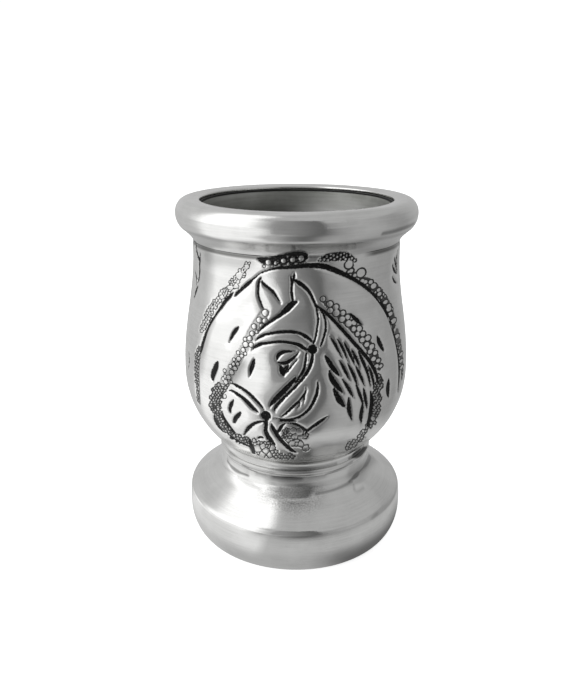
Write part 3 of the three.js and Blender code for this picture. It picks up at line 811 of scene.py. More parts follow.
def rim_section(s):
    """Closed section of the rim ring: cove, two beads and the hem in the mouth."""
    line = [at(s.throat_radius, s.rim_foot)]
    cove = at(s.cove_radius, s.cove_height)
    middle = at(s.rim_radius, s.rim_middle)
    crest = at(s.rim_crest, s.height)
    line += bow(line[-1], at(s.throat_radius, s.rim_foot + s.cove_rise), cove, steps=12)
    line += bow(cove, at(s.rim_radius, s.rim_corner), middle, steps=12)
    line += quarter(middle, at(s.rim_radius, s.height), crest, steps=24)
    mouth = at(s.mouth_radius, s.mouth_height)
    hem = at(s.hem_radius, s.mouth_height - s.hem_round)
    line += curve(crest, crest - at(s.crest_level, 0), mouth + at(s.mouth_run, s.mouth_fall), mouth, steps=6)
    line += quarter(mouth, at(s.hem_radius, s.mouth_height - SOFT_EDGE), hem, steps=5)
    foot = at(s.hem_radius, s.mouth_height - s.hem_depth)
    hem_back = at(s.hem_radius + s.sheet, foot.y)
    inner = inset(line[:-RIM_HEM_POINTS], s.sheet)
    turn = at(s.hem_radius + s.sheet, inner[-1].y - s.hem_fold)
    return line + [foot, hem_back, turn] + inner[::-1]


def liner_line(s):
    """Inner face of the liner, from the flange's edge down to the middle of the bottom."""
    lip = at(s.liner_radius, s.liner_top)
    low = at(s.liner_low_radius, s.liner_low)
    bead = at(lip.x + s.sheet * LINER_BEAD_SHARE, s.liner_top)
    bead_top = s.liner_top + s.liner_bead
    line = [at(s.liner_flange, s.liner_top), bead]
    line += quarter(bead, at(bead.x, bead_top), at(lip.x + s.liner_edge, bead_top), steps=4)
    line += rounded(line[-1], at(lip.x, bead_top), low, SOFT_EDGE, steps=3)
    line += straight(line[-1], low, steps=24)
    corner = at(s.liner_corner_radius, s.liner_corner)
    line += curve(low, corner, at(s.liner_flat, s.liner_floor), at(0, s.liner_floor), steps=26)
    return line


def liner_section(s):
    """Closed section of the liner."""
    line = liner_line(s)
    plain = [at(s.liner_flange, s.liner_top), at(s.liner_radius, s.liner_top)] + line[-LINER_WALL_POINTS:]
    back = inset(plain, s.sheet)
    back[-1] = at(0, s.liner_floor - s.sheet)
    return line + back[::-1]


def core_section(s):
    """Closed section of the wooden core: foot, waist and bowl outside, bore inside."""
    gap = s.sheet + s.glue_gap
    line = [at(0, s.core_foot)]
    line += [p for p in inset(foot_line(s), gap)[2:-FOOT_TOP_POINTS] if p.y > s.core_foot]
    line[1:1] = [at(line[1].x, s.core_foot)]
    line += [at(s.core_waist + s.core_shoulder, s.core_dome), at(s.core_waist, s.core_neck)]
    line.append(at(s.core_waist, s.neck_top + s.core_rise))
    line += inset(body_curve(s, bowl_steps=14, shoulder_steps=18)[1:], gap)
    line.append(at(s.throat_radius - gap, s.body_top))
    line.append(at(s.throat_radius - gap, s.core_top))
    bore = inset(liner_line(s)[-LINER_WALL_POINTS:], gap)
    line += [p for p in bore if p.y < s.core_top and p.x > s.bore_tip]
    line.append(at(0, s.liner_floor - gap))
    return line


def seal_section(s):
    """Closed section of the seal, with rounded edges."""
    middle = (s.seal_height + s.seal_top) / 2
    half = (s.seal_top - s.seal_height) / 2
    line = [at(s.seal_outer, s.seal_height), at(s.seal_outer, s.seal_top)]
    line.append(at(s.seal_inner + half, s.seal_top))
    line += quarter(line[-1], at(s.seal_inner, s.seal_top), at(s.seal_inner, middle), steps=5)
    foot = at(s.seal_inner + half, s.seal_height)
    line += quarter(line[-1], at(s.seal_inner, s.seal_height), foot, steps=5)
    return line


def spin_round(bm, line, closed, start, angle, steps):
    """Turns a line of the outline plane round the cup's axis, from a start angle on."""
    verts = [bm.verts.new((p.x * math.sin(start), -p.x * math.cos(start), p.y)) for p in line]
    ends = zip(verts, verts[1:] + verts[:1]) if closed else zip(verts, verts[1:])
    edges = [bm.edges.new(pair) for pair in ends]
    bmesh.ops.spin(bm, geom=verts + edges, cent=(0, 0, 0), axis=(0, 0, 1), dvec=(0, 0, 0), angle=angle,
                   steps=steps, use_merge=False, use_duplicate=False)


def spun(section, turns):
    """A closed section turned round the cup's axis, from a start angle through arcs of (angle, steps)."""
    angle, arcs = turns
    on_axis = section[0].x < MERGE and section[-1].x < MERGE
    whole = bmesh.new()
    scrap = bpy.data.meshes.new("slice")
    for arc, steps in arcs:
        slices = -(-steps // SLICE_STEPS)
        for _ in range(slices):
            bm = bmesh.new()
            spin_round(bm, section, not on_axis, angle, arc / slices, steps // slices)
            bm.to_mesh(scrap)
            bm.free()
            whole.from_mesh(scrap)
            angle += arc / slices
    bpy.data.meshes.remove(scrap)
    bmesh.ops.remove_doubles(whole, verts=whole.verts, dist=MERGE)
    bmesh.ops.dissolve_degenerate(whole, edges=whole.edges, dist=MERGE)
    loose = [edge for edge in whole.edges if not edge.link_faces]
    bmesh.ops.delete(whole, geom=loose, context="EDGES")
    bmesh.ops.recalc_face_normals(whole, faces=whole.faces)
    return whole


def full_turn(steps=ROUND_STEPS):
    """One even turn."""
    return 0.0, ((2 * math.pi, steps),)


def chased_turn():
    """One turn with close steps over the drawing, wider ones at the sides and the widest behind."""
    front = math.radians(FRONT_TURN)
    side = math.radians(SIDE_TURN)
    back = 2 * (math.pi - front - side)
    return -front, ((2 * front, FRONT_STEPS), (side, SIDE_STEPS), (back, BACK_STEPS), (side, SIDE_STEPS))


def mesh_object(bm, name, material):
    """Makes the mesh an object of the scene."""
    mesh = bpy.data.meshes.new(name)
    bm.to_mesh(mesh)
    bm.free()
    mesh.materials.append(material)
    made = bpy.data.objects.new(name, mesh)
    bpy.context.collection.objects.link(made)
    return made


def placed(bm, name, material, node):
    """Makes the mesh a smooth piece of the cup that stands for its CAD node."""
    piece = mesh_object(bm, name, material)
    piece.data.shade_smooth()
    piece.data.set_sharp_from_angle(angle=math.radians(SHARP_EDGE))
    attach(piece, BODY)
    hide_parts(node)
    return piece


def camera_place(s):
    """Where the camera stands."""
    return Vector((s.camera_right, -s.camera_distance, s.camera_height))


def sight_line(x, y):
    """Camera place and direction through a pixel of the photograph, in metres."""
    s = stage()
    pitch = s.camera_pitch
    forward = Vector((0, math.cos(pitch), -math.sin(pitch)))
    up = Vector((0, math.sin(pitch), math.cos(pitch)))
    right = Vector((1, 0, 0))
    across = (x - PHOTO_WIDTH / 2) / s.focal_pixels
    down = (y - PHOTO_HEIGHT / 2) / s.focal_pixels
    return camera_place(s), (forward + right * across - up * down).normalized()


def drawn(points):
    """A smooth line through drawn points, with its width, at even spacing in pixels."""
    p = np.array(points, float)
    p = np.vstack([2 * p[0] - p[1], p, 2 * p[-1] - p[-2]])
    out = []
    for a, b, c, d in zip(p, p[1:], p[2:], p[3:]):
        count = max(2, int(np.hypot(*(c - b)[:2]) / DRAW_STEP))
        t = np.linspace(0, 1, count, endpoint=False)[:, None]
        out.append(b + 0.5 * t * (c - a + t * (2 * a - 5 * b + 4 * c - d + t * (3 * (b - c) + d - a))))
    out.append(p[-2:-1])
    line = np.vstack(out)
    line[:, 2] = np.maximum(line[:, 2], THINNEST_LINE)
    return line


def laid_on(tree, points, gain=1.0, widest=WIDEST_PIXEL):
    """A drawn line laid on the metal along sight lines: rows of x, y, z and half width, in metres.

    Where the metal turns away, a pixel covers more of it, up to the widest."""
    line = drawn(points)
    way = np.gradient(line[:, :2], axis=0)
    way /= np.maximum(np.linalg.norm(way, axis=1, keepdims=True), 1e-6)
    rows = []
    for (x, y, width), (dx, dy) in zip(line, way):
        middle = tree.ray_cast(*sight_line(x, y))[0]
        if middle is None:
            continue
        sides = [tree.ray_cast(*sight_line(x - dy * half, y + dx * half))[0] for half in (-0.5, 0.5)]
        hits = [p for p in sides if p is not None]
        pixel = sum((p - middle).length for p in hits) / max(len(hits), 1) * 2 if hits else PLAIN_PIXEL
        rows.append((*middle, min(pixel, widest) * width * gain / 2))
    return np.array(rows)


def edge_distance(points, rows, reach):
    """Distance of each point to the edge of one laid line, up to reach; below zero inside the line."""
    far = np.full(len(points), reach)
    low = rows[:, :3].min(axis=0) - reach - rows[:, 3].max()
    high = rows[:, :3].max(axis=0) + reach + rows[:, 3].max()
    near = np.flatnonzero(((points > low) & (points < high)).all(axis=1))
    for part in np.array_split(near, len(near) // POINTS_AT_ONCE + 1):
        gap = np.linalg.norm(points[part, None] - rows[None, :, :3], axis=2) - rows[None, :, 3]
        far[part] = np.minimum(far[part], gap.min(axis=1))
    return far


def ring_places(rows, cell, fill, dice):
    """Centres of the ring punches that fill a band, row by row along it, with their radius."""
    steps = np.linalg.norm(np.diff(rows[:, :3], axis=0), axis=1)
    along = np.concatenate([[0], np.cumsum(steps)])
    places = []
    count = max(1, int(along[-1] / (cell * RING_PITCH)))
    for k in range(count):
        i = min(np.searchsorted(along, (k + 0.5) * along[-1] / count), len(rows) - 2)
        here = Vector(rows[i, :3])
        forward = Vector(rows[i + 1, :3] - rows[max(i - 1, 0), :3]).normalized()
        outward = Vector((here.x, here.y, 0)).normalized()
        across = outward.cross(forward).normalized()
        fit = max(1, round(2 * rows[i, 3] / cell))
        stagger = (RING_STAGGER if k % 2 else -RING_STAGGER) * cell * (fit > 1)
        for j in range(fit):
            shift = (j - (fit - 1) / 2) * cell + stagger
            shift += dice.uniform(-RING_JITTER, RING_JITTER) * cell
            slip = dice.uniform(-RING_JITTER, RING_JITTER) * cell
            radius = fill * cell / 2 * dice.uniform(*RING_SPREAD)
            places.append((here + across * shift + forward * slip, radius))
    return places


def soft_step(value, low, high):
    """0 below low, 1 above high and smooth between them."""
    t = np.clip((value - low) / (high - low), 0, 1)
    return t * t * (3 - 2 * t)


@functools.cache
def drawing_blank():
    """The plain front of the cup's whole outside, that drawing and smudges are laid on."""
    s = sizes()
    bm = bmesh.new()
    line = foot_line(s)[2:] + waist_line(s)[1:-1]
    line += [at(s.lip_radius, (s.lip_low + s.lip_high) / 2), at(s.neck_radius, s.lip_high)]
    line += body_curve(s, *BLANK_CURVE)
    line += rim_section(s)[:RIM_OUTER_POINTS]
    spin_round(bm, line, False, -math.pi / 2, math.pi, BLANK_STEPS)
    tree = BVHTree.FromBMesh(bm)
    bm.free()
    return tree


def spot(tree, x, y, radius):
    """A round mark laid on the body: a row of x, y, z and radius, and its radius round the body and up it."""
    width = 2 * radius
    level = laid_on(tree, ((x, y, width), (x + SPOT_STEP, y, width)))[:1]
    upright = laid_on(tree, ((x, y, width), (x, y + SPOT_STEP, width)))[:1]
    return (upright if upright[0, 3] < level[0, 3] else level), upright[0, 3], level[0, 3]


def round_body(turn, height, width):
    """A stroke by degrees round the body and by millimetres: rows of x, y, z and half width, in metres."""
    profile = np.array([(p.y, p.x) for p in body_curve(sizes(), *BLANK_CURVE)])
    radius = np.interp(height * MM, profile[:, 0], profile[:, 1])
    angle = np.radians(turn)
    return np.column_stack((radius * np.sin(angle), -radius * np.cos(angle), height * MM, width * MM / 2))


def leaf_branch(side):
    """Strokes of one leaf branch: a swaying stem with leaves to both sides and one at its tip."""
    up = np.linspace(0, 1, STEM_POINTS)
    sway = side * (BRANCH_TURN + BRANCH_SWAY * np.sin(2 * math.pi * up))
    heights = BRANCH_FOOT + (BRANCH_TOP - BRANCH_FOOT) * up
    strokes = [round_body(sway, heights, BRANCH_STEM * (STEM_TAPER - up))]
    out = np.linspace(0, 1, LEAF_POINTS)
    widths = LEAF_WIDTH * np.sin(math.pi * (LEAF_START + LEAF_SHARE * out))
    leaves = 2 * BRANCH_LEAVES + 1
    for k in range(leaves):
        share = (k + 0.5) / leaves
        way = (1 if k % 2 else -1) * (TIP_LEAN if k == leaves - 1 else 1)
        start = np.interp(share, up, sway)
        foot = BRANCH_FOOT + (BRANCH_TOP - BRANCH_FOOT) * share
        turn = start + way * LEAF_SPAN * (LEAF_GAP + (1 - LEAF_GAP) * out) * (LEAF_FULL - LEAF_SHRINK * share)
        strokes.append(round_body(turn, foot + LEAF_RISE * out ** LEAF_BEND, widths))
    return strokes


def clear_of(rings, place, radius):
    """Whether a ring punch at a place stays clear of the others."""
    return all((place - other).length > RING_CLEAR * (max(reach) + radius) for other, *reach in rings)


def laid_drawing():
    """The whole drawing on the body: chased lines, punched bands with ground and line width, ring punches."""
    tree = drawing_blank()
    dice = random.Random(DICE_SEED)
    lines = [laid_on(tree, line, BROAD_GAIN) for line in BROAD_LINES]
    lines += [laid_on(tree, line, LINE_GAIN) for line in FINE_LINES]
    lines += leaf_branch(1) + leaf_branch(-1)
    lines += [spot(tree, *mark)[0] for mark in ROSETTES]
    bands = []
    rings = []
    for name, (path, cell, fill, dark, line) in PUNCHED_BANDS.items():
        rows = laid_on(tree, path)
        half_line = line * PIXEL / 2
        marks = RINGS.get(name, ())
        if not fill:
            bands.append((rows, dark, half_line, cell_seeds(path, cell, marks, dice)))
            continue
        bands.append((rows, dark, half_line, None))
        own = []
        for mark in marks:
            row, around, up = spot(tree, *mark)
            own.append((Vector(row[0, :3]), around, up))
            bands.append((row, dark, half_line, None))
        for place, radius in ring_places(rows, cell * PIXEL, fill, dice):
            if clear_of(own, place, radius):
                own.append((place, radius, radius))
        rings += own
    return lines, bands, rings


def photo_place(points):
    """The pixel of the photograph in which each point is seen, as columns x and y."""
    s = stage()
    away = points - np.array(camera_place(s))
    turn = math.cos(s.camera_pitch)
    tip = math.sin(s.camera_pitch)
    ahead = away[:, 1] * turn - away[:, 2] * tip
    up = away[:, 1] * tip + away[:, 2] * turn
    across = PHOTO_WIDTH / 2 + s.focal_pixels * away[:, 0] / ahead
    return np.column_stack((across, PHOTO_HEIGHT / 2 - s.focal_pixels * up / ahead))


def spread(first, second):
    """Distance in pixels of each first place to each second place."""
    return np.hypot(first[:, None, 0] - second[None, :, 0], first[:, None, 1] - second[None, :, 1])


def cell_seeds(path, cell, marks, dice):
    """Middles of the cells over a band and round it: rows of x, y, size and 1 for a cell inside the band."""
    line = drawn(path)
    low = line[:, :2].min(axis=0) - CELL_MARGIN * cell
    high = line[:, :2].max(axis=0) + CELL_MARGIN * cell
    seeds = [list(mark) for mark in marks]
    for row, y in enumerate(np.arange(low[1], high[1], cell * CELL_ROW)):
        for x in np.arange(low[0] + (row % 2) * cell / 2, high[0], cell):
            here = [place + dice.uniform(-CELL_JITTER, CELL_JITTER) * cell for place in (x, y)]
            if all(math.dist(here, mark[:2]) > mark[2] + CELL_CLEAR * cell for mark in marks):
                seeds.append(here + [cell * dice.uniform(*CELL_SPREAD)])
    seeds = np.array(seeds)
    gap = spread(seeds, line) - line[None, :, 2] / 2
    return np.column_stack((seeds, (gap.min(axis=1) < -CELL_INSIDE * cell).astype(float)))


def cell_distance(places, seeds):
    """Distance of each place to the border of its cell, in pixels; below zero inside the band's cells."""
    gap = spread(places, seeds) - seeds[None, :, 2]
    first, second = np.sort(gap, axis=1)[:, :2].T
    own = gap[:, seeds[:, 3] > 0].min(axis=1)
    return np.where(own > first, own - first, first - second) / 2


def ring_distance(points, rings, near):
    """Distance of each nearby point to the line of its closest ring punch; below zero inside the ring."""
    tree = kdtree.KDTree(len(rings))
    for i, ring in enumerate(rings):
        tree.insert(ring[0], i)
    tree.balance()
    away = np.full(len(points), RING_REACH)
    for i in np.flatnonzero(near):
        here = Vector(points[i])
        side = Vector((here.y, -here.x, 0)).normalized()
        for place, which, distance in tree.find_n(here, RING_NEIGHBOURS):
            _, around, up = rings[which]
            across = (here - place).dot(side)
            along = math.sqrt(max(distance ** 2 - across ** 2, 0))
            share = math.hypot(across / around, along / up)
            away[i] = min(away[i], (share - 1) * min(around, up))
    return away


def throat_crease(points, s):
    """Share of the soft turned crease under the rim and of its painted shadow, which fades out over the
    drawing's top.
    """
    angle = np.degrees(np.arctan2(points[:, 0], -points[:, 1]))
    shown = np.maximum(soft_step(-angle, *CREASE_LEFT), soft_step(angle, *CREASE_RIGHT))
    return shown * np.exp(-((points[:, 2] - s.crease_line) / s.crease_width) ** 4)


def keep_marks(bm, marks):
    """Keeps one number per vertex under each name, for the materials."""
    for name, values in marks.items():
        layer = bm.verts.layers.float.new(name)
        for vert, value in zip(bm.verts, values):
            vert[layer] = value


def filmed(points, s):
    """How dark the smudges and the soft films, some of them painted shade, are at each point."""
    tree = drawing_blank()
    grime_and_shade = np.zeros(len(points))
    for marks, soft in ((SMUDGES, s.smudge_reach), (SHADE_AND_RESIDUE_FILMS, s.film_reach)):
        for path, dark in marks:
            rows = laid_on(tree, path, widest=SMUDGE_PIXEL)
            gap = np.maximum(edge_distance(points, rows, FADE_OUT * soft), 0)
            grime_and_shade = np.maximum(grime_and_shade, dark * np.exp(-(gap / soft) ** 2))
    return grime_and_shade


def smudge(bm, s):
    """Keeps how dark the smudges, the films, the painted shade in the cove and at its fold, and the sand are
    at each vertex.
    """
    points = np.array([v.co for v in bm.verts])
    height = points[:, 2]
    # Painted shade in the cove under the rim's bead and at its fold, kept in the same mark as the smudges.
    cove = soft_step(height, s.rim_foot - COVE_SHADE_FOOT, s.rim_foot + COVE_SHADE_RISE)
    cove *= 1 - soft_step(height, s.cove_height + COVE_SHADE_TOP, s.cove_height + COVE_SHADE_END)
    fold = np.exp(-((height - s.cove_height) / FOLD_WIDTH) ** 2) * cove
    grime_and_shade = np.maximum(filmed(points, s), COVE_SHADE * cove + FOLD_SHADE * fold)
    gap = np.maximum(edge_distance(points, laid_on(drawing_blank(), SAND), SAND_LIMIT), 0)
    keep_marks(bm, {"grime_and_shade": grime_and_shade, "sand": np.exp(-(gap / SAND_REACH) ** 2)})


def punched(points, bands):
    """What the punched bands give at each point.

    That is the distance to the band, the darkness of its ground, the half width of its lines, the film on its
    cells, and the distance to a cell's border where the band has cells."""
    band = np.full(len(points), DRAWING_REACH)
    ground = np.zeros(len(points))
    ring_line = np.full(len(points), PIXEL / 2)
    haze = np.zeros(len(points))
    cells = np.full(len(points), np.nan)
    seen = photo_place(points)
    for rows, dark, half_line, seeds in bands:
        gap = edge_distance(points, rows, DRAWING_REACH)
        closer = gap < band
        ground = np.where(closer, 0 if seeds is not None else dark, ground)
        ring_line = np.where(closer, half_line, ring_line)
        haze[closer] = 0
        cells[closer] = np.nan
        band = np.minimum(band, gap)
        if seeds is not None:
            own = np.flatnonzero(closer & (gap < PUNCH_REACH))
            cells[own] = cell_distance(seen[own], seeds) * PIXEL
            haze[own] = dark * soft_step(-cells[own], 0, HAZE_EDGE)
    return band, ground, ring_line, haze, cells


def wobble(point):
    """Small unevenness of sheet worked by hand, at a point."""
    return sum(share * noise.noise(Vector(point) * scale) for scale, share in WOBBLE_WAVES)


def chase(bm, s, start, end):
    """Sinks the drawing into the sheet between two heights and keeps what the patina and painted shadow need
    at each vertex.
    """
    bm.normal_update()
    points = np.array([v.co for v in bm.verts])
    normals = np.array([v.normal for v in bm.verts])
    radial = np.hypot(points[:, 0], points[:, 1])
    facing = (points[:, :2] * normals[:, :2]).sum(axis=1) / np.maximum(radial, 1e-9)
    height = points[:, 2]
    fade = soft_step(height, start, start + CHASE_FADE) * (1 - soft_step(height, end - CHASE_FADE, end))
    fade *= facing > LEAST_FACING
    lines, bands, rings = laid_drawing()
    groove = np.full(len(points), DRAWING_REACH)
    for rows in lines:
        groove = np.minimum(groove, edge_distance(points, rows, DRAWING_REACH))
    band, ground, ring_line, haze, cells = punched(points, bands)
    plain = np.isnan(cells)
    ring = np.where(plain, ring_distance(points, rings, band < PUNCH_REACH), cells)
    crease = throat_crease(points, s)
    dome = soft_step(-ring, -DOME_FOOT, DOME_RISE)
    inside = soft_step(-band, -BAND_FOOT, BAND_RISE)
    inside = np.where(plain, inside, soft_step(-cells, -CELL_FOOT, 0))
    sink = s.groove_depth * soft_step(-groove, -s.groove_shoulder, GROOVE_FLOOR)
    sink += s.dent_depth * np.exp(-(np.maximum(groove, 0) / s.dent_reach) ** 2)
    sink += inside * s.ring_height * (DOME_LEVEL - dome) + s.crease_depth * crease
    sink += WOBBLE_DEPTH * np.array([wobble(p) for p in points])
    moved = points - normals * (sink * fade)[:, None]
    for vert, place in zip(bm.verts, moved):
        vert.co = place
    keep = fade > LEAST_FADE
    keep_marks(bm, {
        "groove": np.where(keep, groove, DRAWING_REACH) / MM,
        "band": np.where(keep, band, DRAWING_REACH) / MM,
        "ring": np.where(keep, ring, DRAWING_REACH) / MM,
        "ring_line": ring_line / MM,
        "ground": ground,
        "haze": np.where(keep, haze, 0.0),
        # Painted shadow along the throat's crease, with the smudges and the soft films.
        "crease": np.where(keep, np.maximum(crease, filmed(points, s)), 0.0),
    })


class Nodes:
    """Adds nodes to one node tree, with their inputs set or linked."""

    def __init__(self, tree):
        self.tree = tree

    def put(self, value, socket):
        """Links another node's output to a socket, or sets a plain value on it."""
        if isinstance(value, bpy.types.NodeSocket):
            self.tree.links.new(value, socket)
        else:
            socket.default_value = value

    def add(self, kind, inputs=(), **settings):
        """A node of that kind with its settings, and its inputs set or linked by name or number."""
        node = self.tree.nodes.new(kind)
        for key, value in settings.items():
            setattr(node, key, value)
        for key, value in dict(inputs).items():
            self.put(value, node.inputs[key])
        return node

    def math(self, operation, first, second=0.0):
        """The result of a Math node."""
        return self.add("ShaderNodeMath", {0: first, 1: second}, operation=operation).outputs[0]

    def plus(self, first, second):
        """The sum of two values."""
        return self.math("ADD", first, second)

    def minus(self, first, second):
        """The first value less the second."""
        return self.math("SUBTRACT", first, second)

    def times(self, first, second):
        """The product of two values."""
        return self.math("MULTIPLY", first, second)

    def larger(self, first, second):
        """The larger of two values."""
        return self.math("MAXIMUM", first, second)

    def smaller(self, first, second):
        """The smaller of two values."""
        return self.math("MINIMUM", first, second)

    def flat_length(self, across, ahead):
        """How far a place lies from the upright axis."""
        return self.math("SQRT", self.plus(self.times(across, across), self.times(ahead, ahead)))

    def split(self, vector):
        """The three parts of a vector: across, ahead and up."""
        return self.add("ShaderNodeSeparateXYZ", {0: vector}).outputs

    def vector(self, operation, first, second=(0, 0, 0)):
        """The outputs of a Vector Math node."""
        return self.add("ShaderNodeVectorMath", {0: first, 1: second}, operation=operation).outputs

    def ramp(self, value, low, high, start=0.0, end=1.0):
        """The value brought smoothly from low..high to start..end."""
        inputs = {"Value": value, "From Min": low, "From Max": high, "To Min": start, "To Max": end}
        return self.add("ShaderNodeMapRange", inputs, interpolation_type="SMOOTHSTEP").outputs["Result"]

    def between(self, share, first, second):
        """Two values mixed."""
        return self.add("ShaderNodeMix", {"Factor": share, "A": first, "B": second}).outputs[0]

    def blend(self, share, first, second):
        """Two colours mixed."""
        return self.add("ShaderNodeMix", {0: share, 6: first, 7: second}, data_type="RGBA").outputs[2]

    def noise(self, where, scale, detail=2.0, roughness=0.5):
        """Noise from 0 to 1."""
        inputs = {"Vector": where, "Scale": scale, "Detail": detail, "Roughness": roughness}
        return self.add("ShaderNodeTexNoise", inputs).outputs["Fac"]

    def mark(self, name):
        """What the mesh keeps at each vertex under that name."""
        return self.add("ShaderNodeAttribute", attribute_name=name).outputs["Fac"]

    def bump(self, height, strength, depth):
        """The surface's direction with a fine relief on it."""
        inputs = {"Height": height, "Strength": strength, "Distance": depth}
        return self.add("ShaderNodeBump", inputs).outputs["Normal"]

    def shared(self, group, inputs):
        """The outputs of a shared node group, with its inputs set or linked by name."""
        return self.add("ShaderNodeGroup", inputs, node_tree=group).outputs


def node_group(name, inputs, outputs):
    """An empty shader node group with its sockets: its nodes, its input node and its output node."""
    group = bpy.data.node_groups.new(name, "ShaderNodeTree")
    for label, kind, default in inputs:
        socket = group.interface.new_socket(name=label, in_out="INPUT", socket_type=kind)
        if default is not None:
            socket.default_value = default
    for label, kind in outputs:
        group.interface.new_socket(name=label, in_out="OUTPUT", socket_type=kind)
    nodes = Nodes(group)
    return nodes, nodes.add("NodeGroupInput"), nodes.add("NodeGroupOutput")


def turning_lines():
    """Node group: fine lines left by the lathe, running round the axis."""
    if "Turning lines" in bpy.data.node_groups:
        return bpy.data.node_groups["Turning lines"]
    nodes, given, result = node_group(
        "Turning lines",
        (("Vector", "NodeSocketVector", None), ("Lines per metre", "NodeSocketFloat", SHELL_LINES)),
        (("Height", "NodeSocketFloat"), ("Streak", "NodeSocketFloat")))
    across, ahead, up = nodes.split(given.outputs["Vector"])
    turn = nodes.times(nodes.math("SINE", nodes.math("ARCTAN2", across, ahead)), LINE_WANDER)
    radius = nodes.flat_length(across, ahead)
    place = nodes.add("ShaderNodeCombineXYZ", {0: radius, 1: up, 2: turn}).outputs[0]
    fine = nodes.noise(place, given.outputs["Lines per metre"], detail=3.0, roughness=0.6)
    broad = nodes.noise(place, BROAD_LINES_PER_METRE)
    nodes.put(fine, result.inputs["Height"])
    mixed = nodes.plus(nodes.times(fine, FINE_SHARE), nodes.times(broad, 1 - FINE_SHARE))
    nodes.put(nodes.ramp(mixed, *STREAK_RANGE), result.inputs["Streak"])
    return nodes.tree


def handling_marks():
    """Node group: cloudy smudges and specks from handling."""
    if "Handling marks" in bpy.data.node_groups:
        return bpy.data.node_groups["Handling marks"]
    nodes, given, result = node_group(
        "Handling marks",
        (("Vector", "NodeSocketVector", None), ("Scale", "NodeSocketFloat", SHELL_SMUDGES)),
        (("Smudge", "NodeSocketFloat"), ("Grain", "NodeSocketFloat")))
    cloud = nodes.noise(given.outputs["Vector"], given.outputs["Scale"], detail=5.0, roughness=0.62)
    nodes.put(nodes.ramp(cloud, *SMUDGE_RANGE), result.inputs["Smudge"])
    grain = nodes.noise(given.outputs["Vector"], GRAINS_PER_METRE)
    nodes.put(nodes.ramp(grain, *GRAIN_RANGE), result.inputs["Grain"])
    return nodes.tree


def new_material(name):
    """A named material with its nodes, its Principled shader and the piece's own coordinates."""
    material = bpy.data.materials.new(name)
    material.use_nodes = True
    nodes = Nodes(material.node_tree)
    shader = material.node_tree.nodes["Principled BSDF"]
    where = nodes.add("ShaderNodeTexCoord").outputs["Object"]
    return material, nodes, shader, where


def rgba(rgb):
    """A colour with full alpha."""
    return (*rgb, 1.0)


def metal_base(nodes, where, lines_per_metre, smudge_scale):
    """The two groups that every metal surface starts from: their outputs by name."""
    lines = nodes.shared(turning_lines(), {"Vector": where, "Lines per metre": lines_per_metre})
    marks = nodes.shared(handling_marks(), {"Vector": where, "Scale": smudge_scale})
    return {socket.name: socket for socket in (*lines, *marks)}


def patina(nodes, where):
    """Masks of the black in lines and round ring punches, and of the grey film on the metal, which also
    paints the shadow along the throat's crease and the films' shade.
    """
    ragged = nodes.noise(where, scale=2000.0, detail=3.0, roughness=0.6)
    ragged = nodes.times(nodes.minus(ragged, 0.5), RAGGED)
    edge = nodes.plus(nodes.mark("groove"), ragged)
    line = nodes.ramp(edge, PATINA_EDGE, -PATINA_EDGE)
    film = nodes.times(nodes.ramp(edge, FILM_WIDTH, 0.0), FILM_SHARE)
    # Painted shadow along the throat's crease and the films' shade, laid as grey film.
    film = nodes.larger(film, nodes.times(nodes.mark("crease"), CREASE_SHADOW_AND_FILM_SHARE))
    haze = nodes.times(nodes.mark("haze"), nodes.ramp(ragged, *HAZE_RANGE, *HAZE_SHARES))
    film = nodes.larger(film, haze)
    away = nodes.plus(nodes.mark("ring"), nodes.times(ragged, RAGGED_RING))
    inside = nodes.plus(nodes.mark("band"), nodes.times(ragged, RAGGED_BAND))
    inside = nodes.ramp(inside, BAND_EDGE, -PATINA_EDGE)
    outline = nodes.minus(nodes.math("ABSOLUTE", away), nodes.mark("ring_line"))
    outline = nodes.times(nodes.ramp(outline, PATINA_EDGE, -PATINA_EDGE), OUTLINE_SHARE)
    between = nodes.times(nodes.ramp(away, -RING_EDGE, RING_EDGE), nodes.times(nodes.mark("ground"), inside))
    fleck = nodes.ramp(nodes.noise(where, scale=2600.0), *FLECK_RANGE, 1.0, FLECK_SHARE)
    filled = nodes.times(nodes.larger(line, between), fleck)
    return nodes.larger(filled, outline), film


